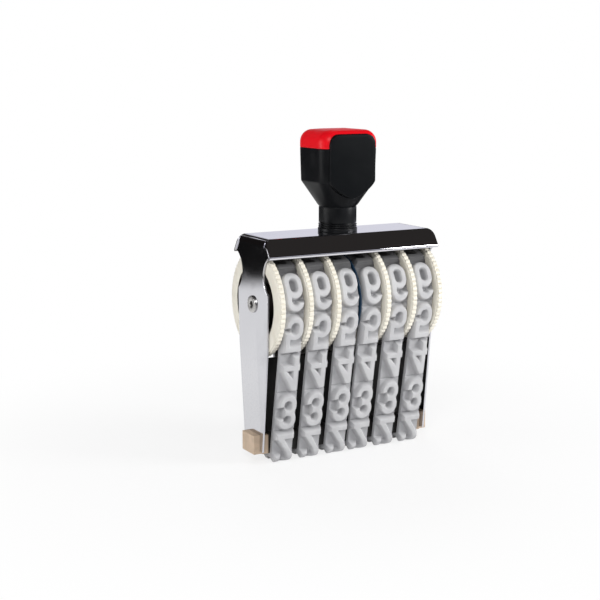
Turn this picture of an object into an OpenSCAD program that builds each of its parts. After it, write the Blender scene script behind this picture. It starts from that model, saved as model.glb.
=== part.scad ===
// Hand numbering machine: six endless rubber bands of raised digits, each turned by its own
// knurled thumb wheel on one axle, in a bent-up bracket under a folded cover, with a handle.
// X runs along the axle, -Y is the front, +Z is up. The origin lies in the printing plane,
// under the middle of the machine. Sizes are in millimetres.

/* [Numbering bands] */
// Width of a band
band_w = 11.3; // [9.6:0.1:14]
// Thickness of the band's web, without the digits
band_t = 2; // [1.4:0.1:2.6]
// Height of the digits above the web
relief = 2.6; // [1.6:0.1:3.2]
// How far the bands are fed past the printing position, along the loop
band_feed = -6.75; // [-8.5:0.25:9]
// Gap between two characters, along the loop
digit_gap = 2.2; // [1:0.1:3.4]
// Width of the groove between two characters
groove_w = 1; // [0.4:0.1:2]
// Depth of the groove between two characters
groove_depth = 0.8; // [0.3:0.1:1]
// Radius of the band's web where it turns round the anvil
turn_r = 2.5; // [2.2:0.1:3]
// Clearance on each side of a band
band_side_gap = 0.24; // [0.15:0.01:0.5]

/* [Digits] */
// Margin between a digit and the edge of its band
digit_margin = 0.75; // [0.3:0.05:1.2]
// Width of a digit's strokes
stroke = 3.1; // [2:0.1:3.4]

/* [Thumb wheels] */
// Diameter over the knurls
wheel_d = 52.8; // [51:0.2:55]
// Thickness of the knurled rim
wheel_w = 3.5; // [2.8:0.1:4.5]
// Knurls round one wheel
knurl_count = 128; // [90:2:140]
// Depth of the knurls
knurl_depth = 0.4; // [0.2:0.05:0.6]
// Width of the rounded shoulder beside the knurls
shoulder = 0.6; // [0.3:0.1:1]
// Diameter of the drum that carries the band
drum_d = 40; // [38:0.2:41]
// Running clearance between a drum and its band
drum_gap = 0.3; // [0.2:0.05:0.5]
// Clearance between neighbours on the axle
spin_gap = 0.15; // [0.1:0.05:0.4]

/* [Axle and separator] */
// Height of the axle above the printing plane
axle_z = 78.6; // [76:0.2:84]
// Diameter of the tubular axle
axle_d = 6; // [5:0.1:8]
// Diameter of the hole through the axle
axle_hole_d = 3.2; // [2:0.1:3.6]
// Diameter of the axle's riveted heads
rivet_d = 8.4; // [8.2:0.1:11]
// Thickness of the riveted heads
rivet_t = 0.9; // [0.5:0.1:1.5]
// Radial clearance of the bores that turn on the axle
bore_gap = 0.05; // [0.03:0.01:0.15]
// Diameter of the separator disc in the middle
disc_d = 47; // [46:0.5:50]
// Thickness of the separator disc
disc_t = 0.6; // [0.4:0.1:1]
// Clearance between the separator disc and the room of each band beside it
disc_gap = 0.45; // [0.3:0.05:0.7]

/* [Anvil] */
// Depth of the flat that presses the digits, front to back
anvil_depth = 14.4; // [13:0.2:16]
// Height of the anvil
anvil_h = 9.6; // [7:0.2:12]
// Thickness of the anvil's upright rib
rib_t = 2.4; // [1.6:0.2:4]
// Clearance between the rib and the wheels above it
rib_gap = 1.4; // [1:0.1:6]
// Front to back size of the lugs that hold the anvil in the bracket
lug_depth = 12.6; // [10:0.2:12.8]
// How far the lugs stand out of the side plates
lug_reach = 3.1; // [1:0.1:4]
// Clearance beside the lugs
lug_gap = 0.1; // [0.05:0.05:0.3]

/* [Bracket] */
// Thickness of the bracket's sheet
plate_t = 1; // [0.8:0.1:1.4]
// Room between the wheels and the bracket's web
web_gap = 4.6; // [4.2:0.1:7]
// Half depth of the side plates at the bottom
foot_half = 9.3; // [8.6:0.1:11]
// Half depth of the side plates below the wheels
waist_half = 14.7; // [13:0.1:16]
// Half depth of the side plates beside the axle
hip_half = 15.4; // [14:0.1:16]
// Bottom of the side plates above the printing plane
foot_z = 6; // [5.2:0.1:8]
// Radius of the finger cut-outs in the side plates
scallop_r = 10.6; // [9.6:0.1:11.4]
// Half depth left between the finger cut-outs
scallop_half = 10.9; // [9.5:0.1:12]
// Outside radius of the bends between web and side plates
bend_r = 3.2; // [2.4:0.1:4]

/* [Cover] */
// Thickness of the cover's sheet
cover_t = 1; // [0.6:0.1:1.4]
// Half depth of the cover's flat top
cover_flat = 13.4; // [12.8:0.1:14.2]
// Half depth of the cover over its skirts
cover_half = 18.6; // [18.2:0.1:19.4]
// Height of the sloping facets
facet_h = 8; // [7:0.1:9]
// Height of the upright skirts
skirt_h = 1.3; // [0.8:0.1:1.6]
// How far the cover stands out over the side plates, where its top bends down
overhang = 0.6; // [0.3:0.1:1.2]
// Clearance between the cover's bent ends and the bracket
end_gap = 0.1; // [0.05:0.05:0.2]

/* [Screw] */
// Diameter of the handle's screw
screw_d = 5; // [4:0.5:6]
// Diameter of the screw's head
screw_head_d = 9; // [8:0.1:10]
// Height of the screw's head
screw_head_h = 2.4; // [1.8:0.1:2.6]
// Length of the screw under its head
screw_l = 30; // [20:1:34]
// Diameter of the washer
washer_d = 12; // [11:0.5:14]
// Thickness of the washer
washer_t = 0.8; // [0.5:0.1:1]
// Radial clearance round the screw in sheet and plastic
screw_gap = 0.2; // [0.1:0.05:0.4]

/* [Handle] */
// Diameter of the neck
neck_d = 18.8; // [16:0.2:22]
// Height of the plain sleeve round the neck
sleeve_h = 8; // [4:0.5:12]
// Diameter of the collar on the cover
collar_d = 19.6; // [19.2:0.2:24]
// Height of the collar's foot
collar_foot_h = 1.9; // [1:0.1:3]
// Height of the whole collar, with its rings
collar_h = 4.4; // [4:0.1:6]
// Half width of the grip
grip_half_x = 16.1; // [14.6:0.1:18]
// Half depth of the grip
grip_half_y = 14.7; // [13.4:0.1:15.4]
// Radius of the grip's upright corners
grip_r = 7; // [6:0.1:9]
// How much narrower the grip is at its waist, on each side
grip_taper = 0.5; // [0:0.1:1.2]
// Height of the flared part between neck and grip
flare_h = 12.6; // [9:0.2:16]
// Height of the grip's straight part, below the cap
grip_h = 16.4; // [12:0.2:22]
// Height of the cap
cap_h = 9.3; // [8:0.1:12]
// Radius of the cap's top edges
cap_r = 5; // [3:0.1:6]

/* [Front panel] */
// Half width of the panel
panel_half = 13; // [11:0.1:13.6]
// How far the panel stands in front of the grip
panel_proud = 0.3; // [0.1:0.05:1]
// Thickness of the panel
panel_t = 4.2; // [3:0.1:5]
// Radius of the panel's top corners
panel_r = 5; // [2:0.1:7]
// Distance from the panel's top to the cap's top
panel_drop = 2.4; // [1.8:0.1:4]
// Distance from the neck's top to the panel's lowest point
panel_rise = 5.1; // [3:0.1:7]
// Height of the panel's rounded lower end
panel_curve = 9; // [6:0.2:13]
// Clearance round the panel
panel_gap = 0.1; // [0.05:0.05:0.2]

/* [Hidden] */
$fn = 96;

// Bands on each side of the middle; the nodes below are made for three
bands_per_side = 3;
// Degrees of half a turn
half_turn = 180;

// Overlap that fuses the pieces of one solid
fuse = 0.3;
// How deep the digits are rooted in the web
root = band_t / 2;
// Allowance by which a cutter runs past what it cuts
past = 1;
// Characters round a band, from the front of the loop upwards
CHARACTERS = ["1", "2", "3", "4", "5", "6", "7", "8", "9", "0", "-", " "];

// Clearance between the side plates' upper edges and the cover's facets
trim = 0.1;

// Places along the axle
slot_w = band_w + 2 * band_side_gap;
module_w = slot_w + wheel_w;
middle_w = disc_t + 2 * disc_gap;
inner_x = middle_w / 2 + bands_per_side * module_w + spin_gap;
outer_x = inner_x + plate_t;

// The band's loop, as the outside of its web: a flat bottom, two leaning straights and an arc.
// The straights are tangents of the turn at the anvil and of the arc round the drum.
loop_r = drum_d / 2 + drum_gap + band_t;
turn_drop = axle_z - relief - turn_r;
lean = asin((loop_r - turn_r) / norm([anvil_depth / 2, turn_drop])) - atan(anvil_depth / 2 / turn_drop);
// The digits are laid out on a loop with sharp corners, where the straights meet the flat
half_flat = anvil_depth / 2 + turn_r * (1 - sin(lean)) / cos(lean);
straight_l = sqrt(pow(half_flat, 2) + pow(axle_z - relief, 2) - pow(loop_r, 2));
arc_l = loop_r * (half_turn + 2 * lean) * PI / half_turn;
loop_l = 2 * half_flat + 2 * straight_l + arc_l;
pitch = loop_l / len(CHARACTERS);
digit_h = pitch - digit_gap;
digit_w = band_w - 2 * digit_margin;

// Heights of the bracket and the cover
anvil_z = relief + band_t;
lug_top = anvil_z + anvil_h;
rib_top = axle_z - wheel_d / 2 - rib_gap;
web_z = axle_z + wheel_d / 2 + web_gap;
web_top = web_z + plate_t;
cover_top = web_top + cover_t;
facet_tilt = atan((cover_half - cover_flat) / facet_h);
web_half = cover_flat - cover_t * (1 - sin(facet_tilt)) / cos(facet_tilt);
skirt_in = cover_half - cover_t;
skirt_z = cover_top - facet_h - skirt_h;
skirt_top_in = web_top - (skirt_in - web_half) / tan(facet_tilt);

// Heights of the handle
sleeve_z = cover_top + collar_h;
flare_z = sleeve_z + sleeve_h;
grip_z = flare_z + flare_h;
cap_z = grip_z + grip_h;
handle_top = cap_z + cap_h;
panel_bottom = flare_z + panel_rise;
panel_top = handle_top - panel_drop;
panel_back = grip_half_y + panel_proud - panel_t;
screw_top = web_z - washer_t + screw_l;

// ---------- helpers ----------

// Extrudes a drawing of (y, z) along X, from x0 over the width w
module along_x(x0, w) {
    translate([x0, 0, 0]) rotate([90, 0, 90]) linear_extrude(w) children();
}

// Extrudes a drawing of (x, z) along Y, from y0 over the depth d
module along_y(y0, d) {
    translate([0, y0 + d, 0]) rotate([90, 0, 0]) linear_extrude(d) children();
}

// A rod along X between x0 and x1, on the axle's line
module axle_rod(x0, x1, d) {
    translate([x0, 0, axle_z]) rotate([0, 90, 0]) cylinder(h = x1 - x0, d = d);
}

// A rectangle with round corners, made of squares and circles
module round_square(hx, hy, r) {
    square([2 * hx - 2 * r, 2 * hy], center = true);
    square([2 * hx, 2 * hy - 2 * r], center = true);
    for (sx = [-1, 1])
        for (sy = [-1, 1])
            translate([sx * (hx - r), sy * (hy - r)]) circle(r);
}

// A rectangle from z0 to z1 with round upper corners
module round_top(half, z0, z1, r) {
    translate([-half, z0]) square([2 * half, z1 - r - z0]);
    translate([-half + r, z0]) square([2 * (half - r), z1 - z0]);
    for (side = [-1, 1])
        translate([side * (half - r), z1 - r]) circle(r);
}

// Points on an arc round [cy, cz], from angle a0 to angle a1
function arc_points(cy, cz, r, a0, a1, steps) =
    [for (i = [0:steps]) let (a = a0 + (a1 - a0) * i / steps) [cy + r * cos(a), cz + r * sin(a)]];

// ---------- the band's loop ----------

// Outline of the loop, moved outwards by d
function loop_points(d) = concat(
    arc_points(-anvil_depth / 2, relief + turn_r, turn_r + d, 1.5 * half_turn, half_turn + lean, 6),
    arc_points(0, axle_z, loop_r + d, half_turn + lean, -lean, 48),
    arc_points(anvil_depth / 2, relief + turn_r, turn_r + d, -lean, -half_turn / 2, 6)
);

// Where each stretch of the loop starts; s counts from the bottom's middle to the front and up
s_front = half_flat;
s_arc = s_front + straight_l;
s_back = s_arc + arc_l;
s_end = s_back + straight_l;

// Turned angle along the arc at s
function arc_turn(s) = (s - s_arc) / loop_r * half_turn / PI;

// Moves a drawing onto the loop's web at s, on the named stretch, and lets it stand outwards
module on_stretch(stretch, s) {
    if (stretch == "bottom")
        translate([0, -s, relief]) rotate([180, 0, 0]) children();
    if (stretch == "front")
        translate([0, -half_flat - (s - s_front) * sin(lean), relief + (s - s_front) * cos(lean)])
            rotate([90 + lean, 0, 0]) children();
    if (stretch == "arc") {
        held = min(max(s, s_arc), s_back);
        turn = arc_turn(held);
        translate([0, 0, axle_z]) rotate([90 + lean - turn, 0, 0])
            translate([0, s - held, loop_r]) children();
    }
    if (stretch == "back")
        translate([0, half_flat + (s_end - s) * sin(lean), relief + (s_end - s) * cos(lean)])
            rotate([-90 - lean, 0, 0]) children();
}

// Room of a straight stretch from the web's middle to the printing face, as a drawing of (y, z).
// At the bottom's corners the rooms meet in a mitre, and lap inside the web so that they fuse.
module stretch_room(stretch) {
    mitre = relief * (1 - sin(lean)) / cos(lean);
    dip = root * (1 - sin(lean)) / cos(lean);
    if (stretch == "bottom")
        polygon([
            [-half_flat + dip - fuse, relief + root], [half_flat - dip + fuse, relief + root],
            [half_flat + mitre, 0], [-half_flat - mitre, 0]
        ]);
    if (stretch == "front" || stretch == "back") {
        side = stretch == "front" ? -1 : 1;
        polygon([
            [side * (half_flat - dip - fuse * sin(lean)), relief + root - fuse * cos(lean)],
            [side * (half_flat + mitre), 0],
            [side * (loop_r + relief) * cos(lean), axle_z - (loop_r + relief) * sin(lean)],
            [side * (loop_r - root) * cos(lean), axle_z - (loop_r - root) * sin(lean)]
        ]);
    }
}

// ---------- the characters, drawn upright in a box of digit_w by digit_h ----------

bowl_r = digit_w / 2;
high_y = digit_h - bowl_r;
pen = stroke / 2;
// Heights of the bowls of 6 and 5, and of the lower bowl of 3 and 8
bowl_6 = digit_h * 0.68;
bowl_5 = digit_h * 0.66;
bowl_3 = (digit_h + stroke) * 0.51;
// Gap where an open bowl nearly meets its neighbour
notch = digit_h * 0.09;

// A tall ring with straight sides, between y0 and y1
module tall_ring(y0, y1) {
    difference() {
        union() {
            for (y = [y0 + bowl_r, y1 - bowl_r])
                translate([0, y]) circle(bowl_r, $fn = 48);
            translate([-bowl_r, y0 + bowl_r]) square([digit_w, y1 - y0 - 2 * bowl_r]);
        }
        for (y = [y0 + bowl_r, y1 - bowl_r])
            translate([0, y]) circle(bowl_r - stroke, $fn = 48);
        translate([-bowl_r + stroke, y0 + bowl_r])
            square([digit_w - 2 * stroke, y1 - y0 - 2 * bowl_r]);
    }
}

module figure_1() {
    translate([-pen, 0]) square([stroke, digit_h]);
    polygon([
        [-pen, digit_h], [-bowl_r * 0.8, digit_h - stroke * 0.6],
        [-bowl_r * 0.8, digit_h - stroke * 1.35], [-pen, digit_h - stroke * 1.35]
    ]);
    translate([-bowl_r * 0.8, 0]) square([digit_w * 0.8, stroke]);
}

module figure_2() {
    hook_y = high_y - notch;
    intersection() {
        tall_ring(0, digit_h);
        translate([-bowl_r, hook_y]) square([digit_w, digit_h - hook_y]);
    }
    polygon([
        [bowl_r, hook_y], [bowl_r - stroke, hook_y],
        [-bowl_r, stroke], [-bowl_r + stroke * 1.3, stroke]
    ]);
    translate([-bowl_r, 0]) square([digit_w, stroke]);
}

// The two bowls of 3 and 8, which share their middle stroke
module two_bowls() {
    tall_ring(0, bowl_3);
    tall_ring(bowl_3 - stroke, digit_h);
}

module figure_3() {
    difference() {
        two_bowls();
        translate([-bowl_r, bowl_3 - stroke - notch]) square([stroke, stroke + 2 * notch]);
    }
}

// A filled 4 with a small window over its bar
module figure_4() {
    bar_y = digit_h * 0.25;
    bar_top = bar_y + stroke;
    stem_x = bowl_r - stroke * 1.3;
    difference() {
        polygon([
            [-bowl_r, bar_y], [stem_x, bar_y], [stem_x, 0], [stem_x + stroke, 0],
            [stem_x + stroke, bar_y], [bowl_r, bar_y], [bowl_r, bar_top],
            [stem_x + stroke, bar_top], [stem_x + stroke, digit_h], [stem_x, digit_h],
            [-bowl_r, bar_top]
        ]);
        polygon([[stem_x, bar_top], [stem_x, bar_top + stroke], [stem_x - stroke, bar_top]]);
    }
}

module figure_5() {
    open_h = notch * 1.4;
    open_top = bowl_5 * 0.66;
    difference() {
        tall_ring(0, bowl_5);
        translate([-bowl_r, open_top - open_h]) square([stroke, open_h]);
    }
    translate([-bowl_r, open_top]) square([stroke, digit_h - open_top]);
    translate([-bowl_r, digit_h - stroke]) square([digit_w * 0.96, stroke]);
}

module figure_6() {
    tall_ring(0, bowl_6);
    difference() {
        tall_ring(0, digit_h);
        translate([0, bowl_r]) square([bowl_r + past, bowl_6 + notch - bowl_r]);
    }
}

module figure_7() {
    translate([-bowl_r, digit_h - stroke]) square([digit_w, stroke]);
    polygon([
        [bowl_r, digit_h - pen], [bowl_r - stroke * 1.3, digit_h - pen],
        [-bowl_r * 0.5, 0], [-bowl_r * 0.5 + stroke * 1.1, 0]
    ]);
}

module figure_dash() {
    translate([-bowl_r * 0.8, digit_h / 2 - pen]) square([digit_w * 0.8, stroke]);
}

// One character, with its middle at the origin and its top towards -y, as it prints
module character(c) {
    mirror([0, 1]) translate([0, -digit_h / 2]) {
        if (c == "0") tall_ring(0, digit_h);
        if (c == "1") figure_1();
        if (c == "2") figure_2();
        if (c == "3") figure_3();
        if (c == "4") figure_4();
        if (c == "5") figure_5();
        if (c == "6") figure_6();
        if (c == "7") figure_7();
        if (c == "8") two_bowls();
        if (c == "9") translate([0, digit_h]) rotate(180) figure_6();
        if (c == "-") figure_dash();
    }
}

// Limits of the arc and of the straight stretches, with the bottom at both ends of the loop
ARC = ["arc", s_arc, s_back, 0];
STRETCHES = [
    ["bottom", -s_front, s_front, 0],
    ["front", s_front, s_arc, 0],
    ["back", s_back, s_end, 0],
    ["bottom", s_end, s_end + 2 * half_flat, loop_l]
];

// How far a character at s reaches into a stretch
function reach_into(stretch, s) =
    min(s + digit_h / 2, stretch[2]) - max(s - digit_h / 2, stretch[1]);

// The least reach into a stretch that is drawn there
least_reach = 1;

// A character lies on one straight stretch
function is_plain(stretch, s) = reach_into(stretch, s) > digit_h - least_reach;

// A tall character on the named stretch, to be cut to the room of the digits
module tall_character(c, stretch, s) {
    on_stretch(stretch, s) translate([0, 0, -2 * relief]) linear_extrude(4 * relief) character(c);
}

// A character that touches the arc stands on the stretch of its middle and follows the loop
module arc_character(c, s) {
    intersection() {
        tall_character(c, s < s_arc ? "front" : s > s_back ? "back" : "arc", s);
        along_x(-band_w / 2, band_w) difference() {
            polygon(loop_points(relief));
            polygon(loop_points(-root));
        }
    }
}

// A character that touches one stretch or two, but not the arc
module straight_character(c, s) {
    for (stretch = STRETCHES)
        if (reach_into(stretch, s) > least_reach) {
            if (is_plain(stretch, s))
                on_stretch(stretch[0], s - stretch[3]) translate([0, 0, -root])
                    linear_extrude(relief + root) character(c);
            else
                intersection() {
                    tall_character(c, stretch[0], s - stretch[3]);
                    along_x(-band_w / 2, band_w) stretch_room(stretch[0]);
                }
        }
}

// All the characters of one band
module characters() {
    for (k = [0:len(CHARACTERS) - 1]) {
        s = band_feed + k * pitch + (band_feed + k * pitch < -s_front ? loop_l : 0);
        if (CHARACTERS[k] != " ") {
            if (reach_into(ARC, s) > least_reach)
                arc_character(CHARACTERS[k], s);
            else
                straight_character(CHARACTERS[k], s);
        }
    }
}

// One groove between two characters, as a drawing on the loop's outline
module groove_cut(s) {
    if (s > s_front && s < s_arc)
        translate([-half_flat - (s - s_front) * sin(lean), relief + (s - s_front) * cos(lean)])
            rotate(lean) square([2 * groove_depth, groove_w], center = true);
    if (s >= s_arc && s <= s_back)
        translate([0, axle_z]) rotate(180 + lean - arc_turn(s))
            translate([loop_r, 0]) square([2 * groove_depth, groove_w], center = true);
    if (s > s_back && s < s_end)
        translate([half_flat + (s_end - s) * sin(lean), relief + (s_end - s) * cos(lean)])
            rotate(-lean) square([2 * groove_depth, groove_w], center = true);
    if (s >= s_end)
        translate([loop_l - s, relief]) square([groove_w, 2 * groove_depth], center = true);
    if (s <= s_front)
        translate([-s, relief]) square([groove_w, 2 * groove_depth], center = true);
}

// One band with its middle at x
module band(x) {
    translate([x, 0, 0]) {
        along_x(-band_w / 2, band_w) difference() {
            polygon(loop_points(0));
            polygon(loop_points(-band_t));
            for (k = [0:len(CHARACTERS) - 1])
                groove_cut(band_feed + (k + 0.5) * pitch);
        }
        characters();
    }
}

// Middle of the band at index i, counted outwards from the middle of the machine
function band_x(i) = middle_w / 2 + i * module_w + slot_w / 2;

// ---------- the wheels ----------

// How far the smooth body lies below the knurls' roots
knurl_sink = 0.05;

// Outline of a knurled wheel
function knurl_points(r) =
    [for (i = [0:2 * knurl_count - 1])
        let (a = i * half_turn / knurl_count, rr = i % 2 == 0 ? r : r - knurl_depth)
        [rr * cos(a), rr * sin(a)]];

// Half section of the rim's smooth body, as a drawing of (radius, x)
module rim_section() {
    r = wheel_d / 2 - knurl_depth - knurl_sink;
    square([r - shoulder, wheel_w]);
    translate([0, shoulder]) square([r, wheel_w - 2 * shoulder]);
    for (x = [shoulder, wheel_w - shoulder])
        translate([r - shoulder, x]) circle(shoulder, $fn = 32);
}

// One thumb wheel of the right side, with its drum, at index i from the middle
module wheel(i) {
    x0 = middle_w / 2 + i * module_w;
    translate([x0, 0, axle_z]) rotate([0, 90, 0]) difference() {
        union() {
            translate([0, 0, slot_w]) rotate_extrude() rim_section();
            translate([0, 0, slot_w + shoulder]) linear_extrude(wheel_w - 2 * shoulder)
                polygon(knurl_points(wheel_d / 2));
            translate([0, 0, spin_gap]) cylinder(h = slot_w - spin_gap + fuse, d = drum_d);
        }
        translate([0, 0, -past]) cylinder(h = module_w + 2 * past, d = axle_d + 2 * bore_gap);
    }
}

// ---------- the frame ----------

// Depth of the side plates' waist below the axle
waist_drop = 20.6;
// Height of their hips above the axle
hip_rise = 1.4;
// Height of the finger cut-outs above the axle
scallop_rise = 14.9;
// Distance from the middle of a cut-out down to its lower horn
horn_drop = 7.5;

// Outline of a side plate, as a drawing of (y, z)
module plate_outline() {
    waist_z = axle_z - waist_drop;
    hip_z = axle_z + hip_rise;
    scallop_z = axle_z + scallop_rise;
    horn_z = scallop_z - horn_drop;
    edge_half = skirt_in - trim;
    edge_z = web_top - (edge_half - web_half) / tan(facet_tilt);
    difference() {
        polygon([
            [-foot_half, foot_z], [-waist_half, waist_z], [-hip_half, hip_z], [-hip_half, horn_z],
            [-edge_half, edge_z], [-web_half, web_top],
            [web_half, web_top], [edge_half, edge_z],
            [hip_half, horn_z], [hip_half, hip_z], [waist_half, waist_z], [foot_half, foot_z]
        ]);
        for (side = [-1, 1])
            translate([side * (scallop_half + scallop_r), scallop_z]) circle(scallop_r);
        translate([-lug_depth / 2 - lug_gap, 0]) square([lug_depth + 2 * lug_gap, lug_top]);
    }
}

// Front view of the bent sheet: a web and two legs, as a drawing of (x, z)
module bent_sheet() {
    difference() {
        round_top(outer_x, foot_z - past, web_top, bend_r);
        round_top(inner_x, foot_z - 2 * past, web_z, bend_r - plate_t);
    }
}

module frame_bracket() {
    color("#c9c9cc") difference() {
        intersection() {
            along_y(-cover_half, 2 * cover_half) bent_sheet();
            along_x(-outer_x - past, 2 * (outer_x + past)) plate_outline();
        }
        axle_rod(-outer_x - past, outer_x + past, axle_d);
        translate([0, 0, web_z - past]) cylinder(h = plate_t + 2 * past, d = screw_d + 2 * screw_gap);
    }
}

// Section of the cover's folded sheet, as a drawing of (y, z)
module cover_section() {
    polygon([
        [-cover_half, skirt_z], [-cover_half, cover_top - facet_h],
        [-cover_flat, cover_top], [cover_flat, cover_top],
        [cover_half, cover_top - facet_h], [cover_half, skirt_z],
        [skirt_in, skirt_z], [skirt_in, skirt_top_in],
        [web_half, web_top], [-web_half, web_top],
        [-skirt_in, skirt_top_in], [-skirt_in, skirt_z]
    ]);
}

// Front view of the cover's ends, which bend down over the bracket, as a drawing of (x, z)
module bent_ends() {
    difference() {
        round_top(outer_x + overhang, skirt_z - past, cover_top, bend_r + overhang);
        round_top(outer_x + end_gap, skirt_z - 2 * past, web_top, bend_r + end_gap);
        translate([-outer_x - overhang - past, skirt_z - 2 * past])
            square([2 * (outer_x + overhang + past), web_top - bend_r - skirt_z + 2 * past]);
    }
}

module top_cover() {
    color("#d6d4dd") difference() {
        union() {
            intersection() {
                along_x(-outer_x - overhang, 2 * (outer_x + overhang)) cover_section();
                along_y(-cover_half, 2 * cover_half)
                    round_top(outer_x + overhang, skirt_z - past, cover_top, bend_r + overhang);
            }
            along_y(-web_half, 2 * web_half) bent_ends();
        }
        translate([0, 0, web_top - past])
            cylinder(h = cover_t + 2 * past, d = screw_d + 2 * screw_gap);
    }
}

module axle() {
    color("#8d8b88") difference() {
        union() {
            axle_rod(-outer_x - rivet_t, outer_x + rivet_t, axle_d);
            axle_rod(-outer_x - rivet_t, -outer_x, rivet_d);
            axle_rod(outer_x, outer_x + rivet_t, rivet_d);
        }
        axle_rod(-outer_x - rivet_t - past, outer_x + rivet_t + past, axle_hole_d);
    }
}

module centre_disc() {
    color("#2b3f78") difference() {
        axle_rod(-disc_t / 2, disc_t / 2, disc_d);
        axle_rod(-disc_t, disc_t, axle_d + 2 * bore_gap);
    }
}

module anvil() {
    color("#cdb9a5") {
        translate([-inner_x + lug_gap, -anvil_depth / 2, anvil_z])
            cube([2 * (inner_x - lug_gap), anvil_depth, anvil_h]);
        translate([-outer_x - lug_reach, -lug_depth / 2, anvil_z])
            cube([2 * (outer_x + lug_reach), lug_depth, anvil_h]);
        translate([-inner_x + lug_gap, -rib_t / 2, anvil_z])
            cube([2 * (inner_x - lug_gap), rib_t, rib_top - anvil_z]);
    }
}

// ---------- the handle ----------

module handle_screw() {
    socket_d = screw_d * 0.8;
    color("#b9babd") translate([0, 0, web_z - washer_t]) {
        difference() {
            translate([0, 0, -screw_head_h]) cylinder(h = screw_head_h, d = screw_head_d);
            translate([0, 0, -screw_head_h - past])
                cylinder(h = past + screw_head_h / 2, d = socket_d, $fn = 6);
        }
        cylinder(h = screw_l, d = screw_d);
    }
}

module handle_washer() {
    color("#c4c5c8") translate([0, 0, web_z - washer_t]) difference() {
        cylinder(h = washer_t, d = washer_d);
        translate([0, 0, -past]) cylinder(h = washer_t + 2 * past, d = screw_d + 2 * screw_gap);
    }
}

// Depth of the grooves between the collar's rings
ring_depth = 0.8;
// How far the rings stand out of the neck
ring_proud = 0.2;

module neck_collar() {
    ring_h = (collar_h - collar_foot_h) / 5;
    color("#1b1c1f") translate([0, 0, cover_top]) difference() {
        union() {
            cylinder(h = collar_foot_h, d = collar_d);
            cylinder(h = collar_h, d = neck_d - 2 * ring_depth);
            for (i = [1, 3])
                translate([0, 0, collar_foot_h + i * ring_h])
                    cylinder(h = ring_h, d = neck_d + 2 * ring_proud);
        }
        translate([0, 0, -past]) cylinder(h = collar_h + 2 * past, d = screw_d + 2 * screw_gap);
    }
}

module neck_sleeve() {
    color("#17181b") translate([0, 0, sleeve_z]) difference() {
        cylinder(h = sleeve_h, d = neck_d);
        translate([0, 0, -past]) cylinder(h = sleeve_h + 2 * past, d = screw_d + 2 * screw_gap);
    }
}

// The panel's outline with the clearance g added, as a drawing of (x, z)
module shield(g) {
    z_low = panel_bottom + panel_curve;
    z_high = panel_top - panel_r;
    steps = 32;
    polygon(concat(
        [for (i = [0:steps])
            let (a = half_turn * (1 + i / steps))
            [(panel_half + g) * cos(a), z_low + (panel_curve + g) * sin(a)]],
        [[panel_half + g, z_high], [-panel_half - g, z_high]]
    ));
    translate([-panel_half + panel_r, z_low])
        square([2 * (panel_half - panel_r), panel_top + g - z_low]);
    for (side = [-1, 1])
        translate([side * (panel_half - panel_r), z_high]) circle(panel_r + g);
}

// Room that the panel takes out of the grip and the cap
module panel_room() {
    along_y(-panel_back - past - panel_t, panel_t + past) shield(panel_gap);
}

// How far the boss under the cap stays inside the grip
boss_inset = 3;
// Its place behind the middle, clear of the panel
boss_back = 1;
// Radius of its upright corners
boss_r = 2;

// Boss that locates the cap on the grip, with the clearance g added
module cap_boss(g) {
    translate([0, boss_back, cap_z - fuse]) linear_extrude(cap_h / 2 + fuse + g)
        round_square(panel_half - boss_inset + g, panel_back - boss_inset + g, boss_r);
}

// Thickness of the slices between which a skin is stretched
slice = 0.5;

// Plan of the grip, narrowed by n on each side
module grip_plan(n) {
    round_square(grip_half_x - n, grip_half_y - n, grip_r - n, $fn = 32);
}

module handle_body() {
    color("#141518") difference() {
        union() {
            hull() {
                translate([0, 0, flare_z]) cylinder(h = slice, d = neck_d, $fn = 32);
                translate([0, 0, grip_z]) linear_extrude(slice) grip_plan(grip_taper);
                translate([0, 0, cap_z - slice]) linear_extrude(slice) grip_plan(0);
            }
            cap_boss(0);
        }
        panel_room();
        translate([0, 0, flare_z - past])
            cylinder(h = screw_top - flare_z + 2 * past, d = screw_d + 2 * bore_gap);
    }
}

module handle_panel() {
    color("#0d0e11") along_y(-panel_back - panel_t, panel_t) shield(0);
}

// One rounded corner of the cap's top, round its own upright axis
module cap_corner() {
    translate([0, 0, handle_top - cap_r]) rotate_extrude($fn = 32) intersection() {
        translate([grip_r - cap_r, 0]) circle(cap_r, $fn = 32);
        square(grip_r);
    }
}

module handle_cap() {
    color("#e0101f") difference() {
        hull() {
            translate([0, 0, cap_z]) linear_extrude(slice) grip_plan(0);
            for (sx = [-1, 1])
                for (sy = [-1, 1])
                    translate([sx * (grip_half_x - grip_r), sy * (grip_half_y - grip_r), 0])
                        cap_corner();
        }
        panel_room();
        cap_boss(panel_gap);
    }
}

// ---------- the nodes ----------

module left_wheel(i) {
    mirror([1, 0, 0]) wheel(i);
}

module cream() {
    color("#ece4cd") children();
}

module rubber() {
    color("#b9b9bb") children();
}

frame_bracket();
top_cover();
axle();
centre_disc();
anvil();
cream() left_wheel(2);  // wheel_1
cream() left_wheel(1);  // wheel_2
cream() left_wheel(0);  // wheel_3
cream() wheel(0);  // wheel_4
cream() wheel(1);  // wheel_5
cream() wheel(2);  // wheel_6
rubber() band(-band_x(2));  // band_1
rubber() band(-band_x(1));  // band_2
rubber() band(-band_x(0));  // band_3
rubber() band(band_x(0));  // band_4
rubber() band(band_x(1));  // band_5
rubber() band(band_x(2));  // band_6
handle_screw();
handle_washer();
neck_collar();
neck_sleeve();
handle_body();
handle_panel();
handle_cap();
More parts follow.
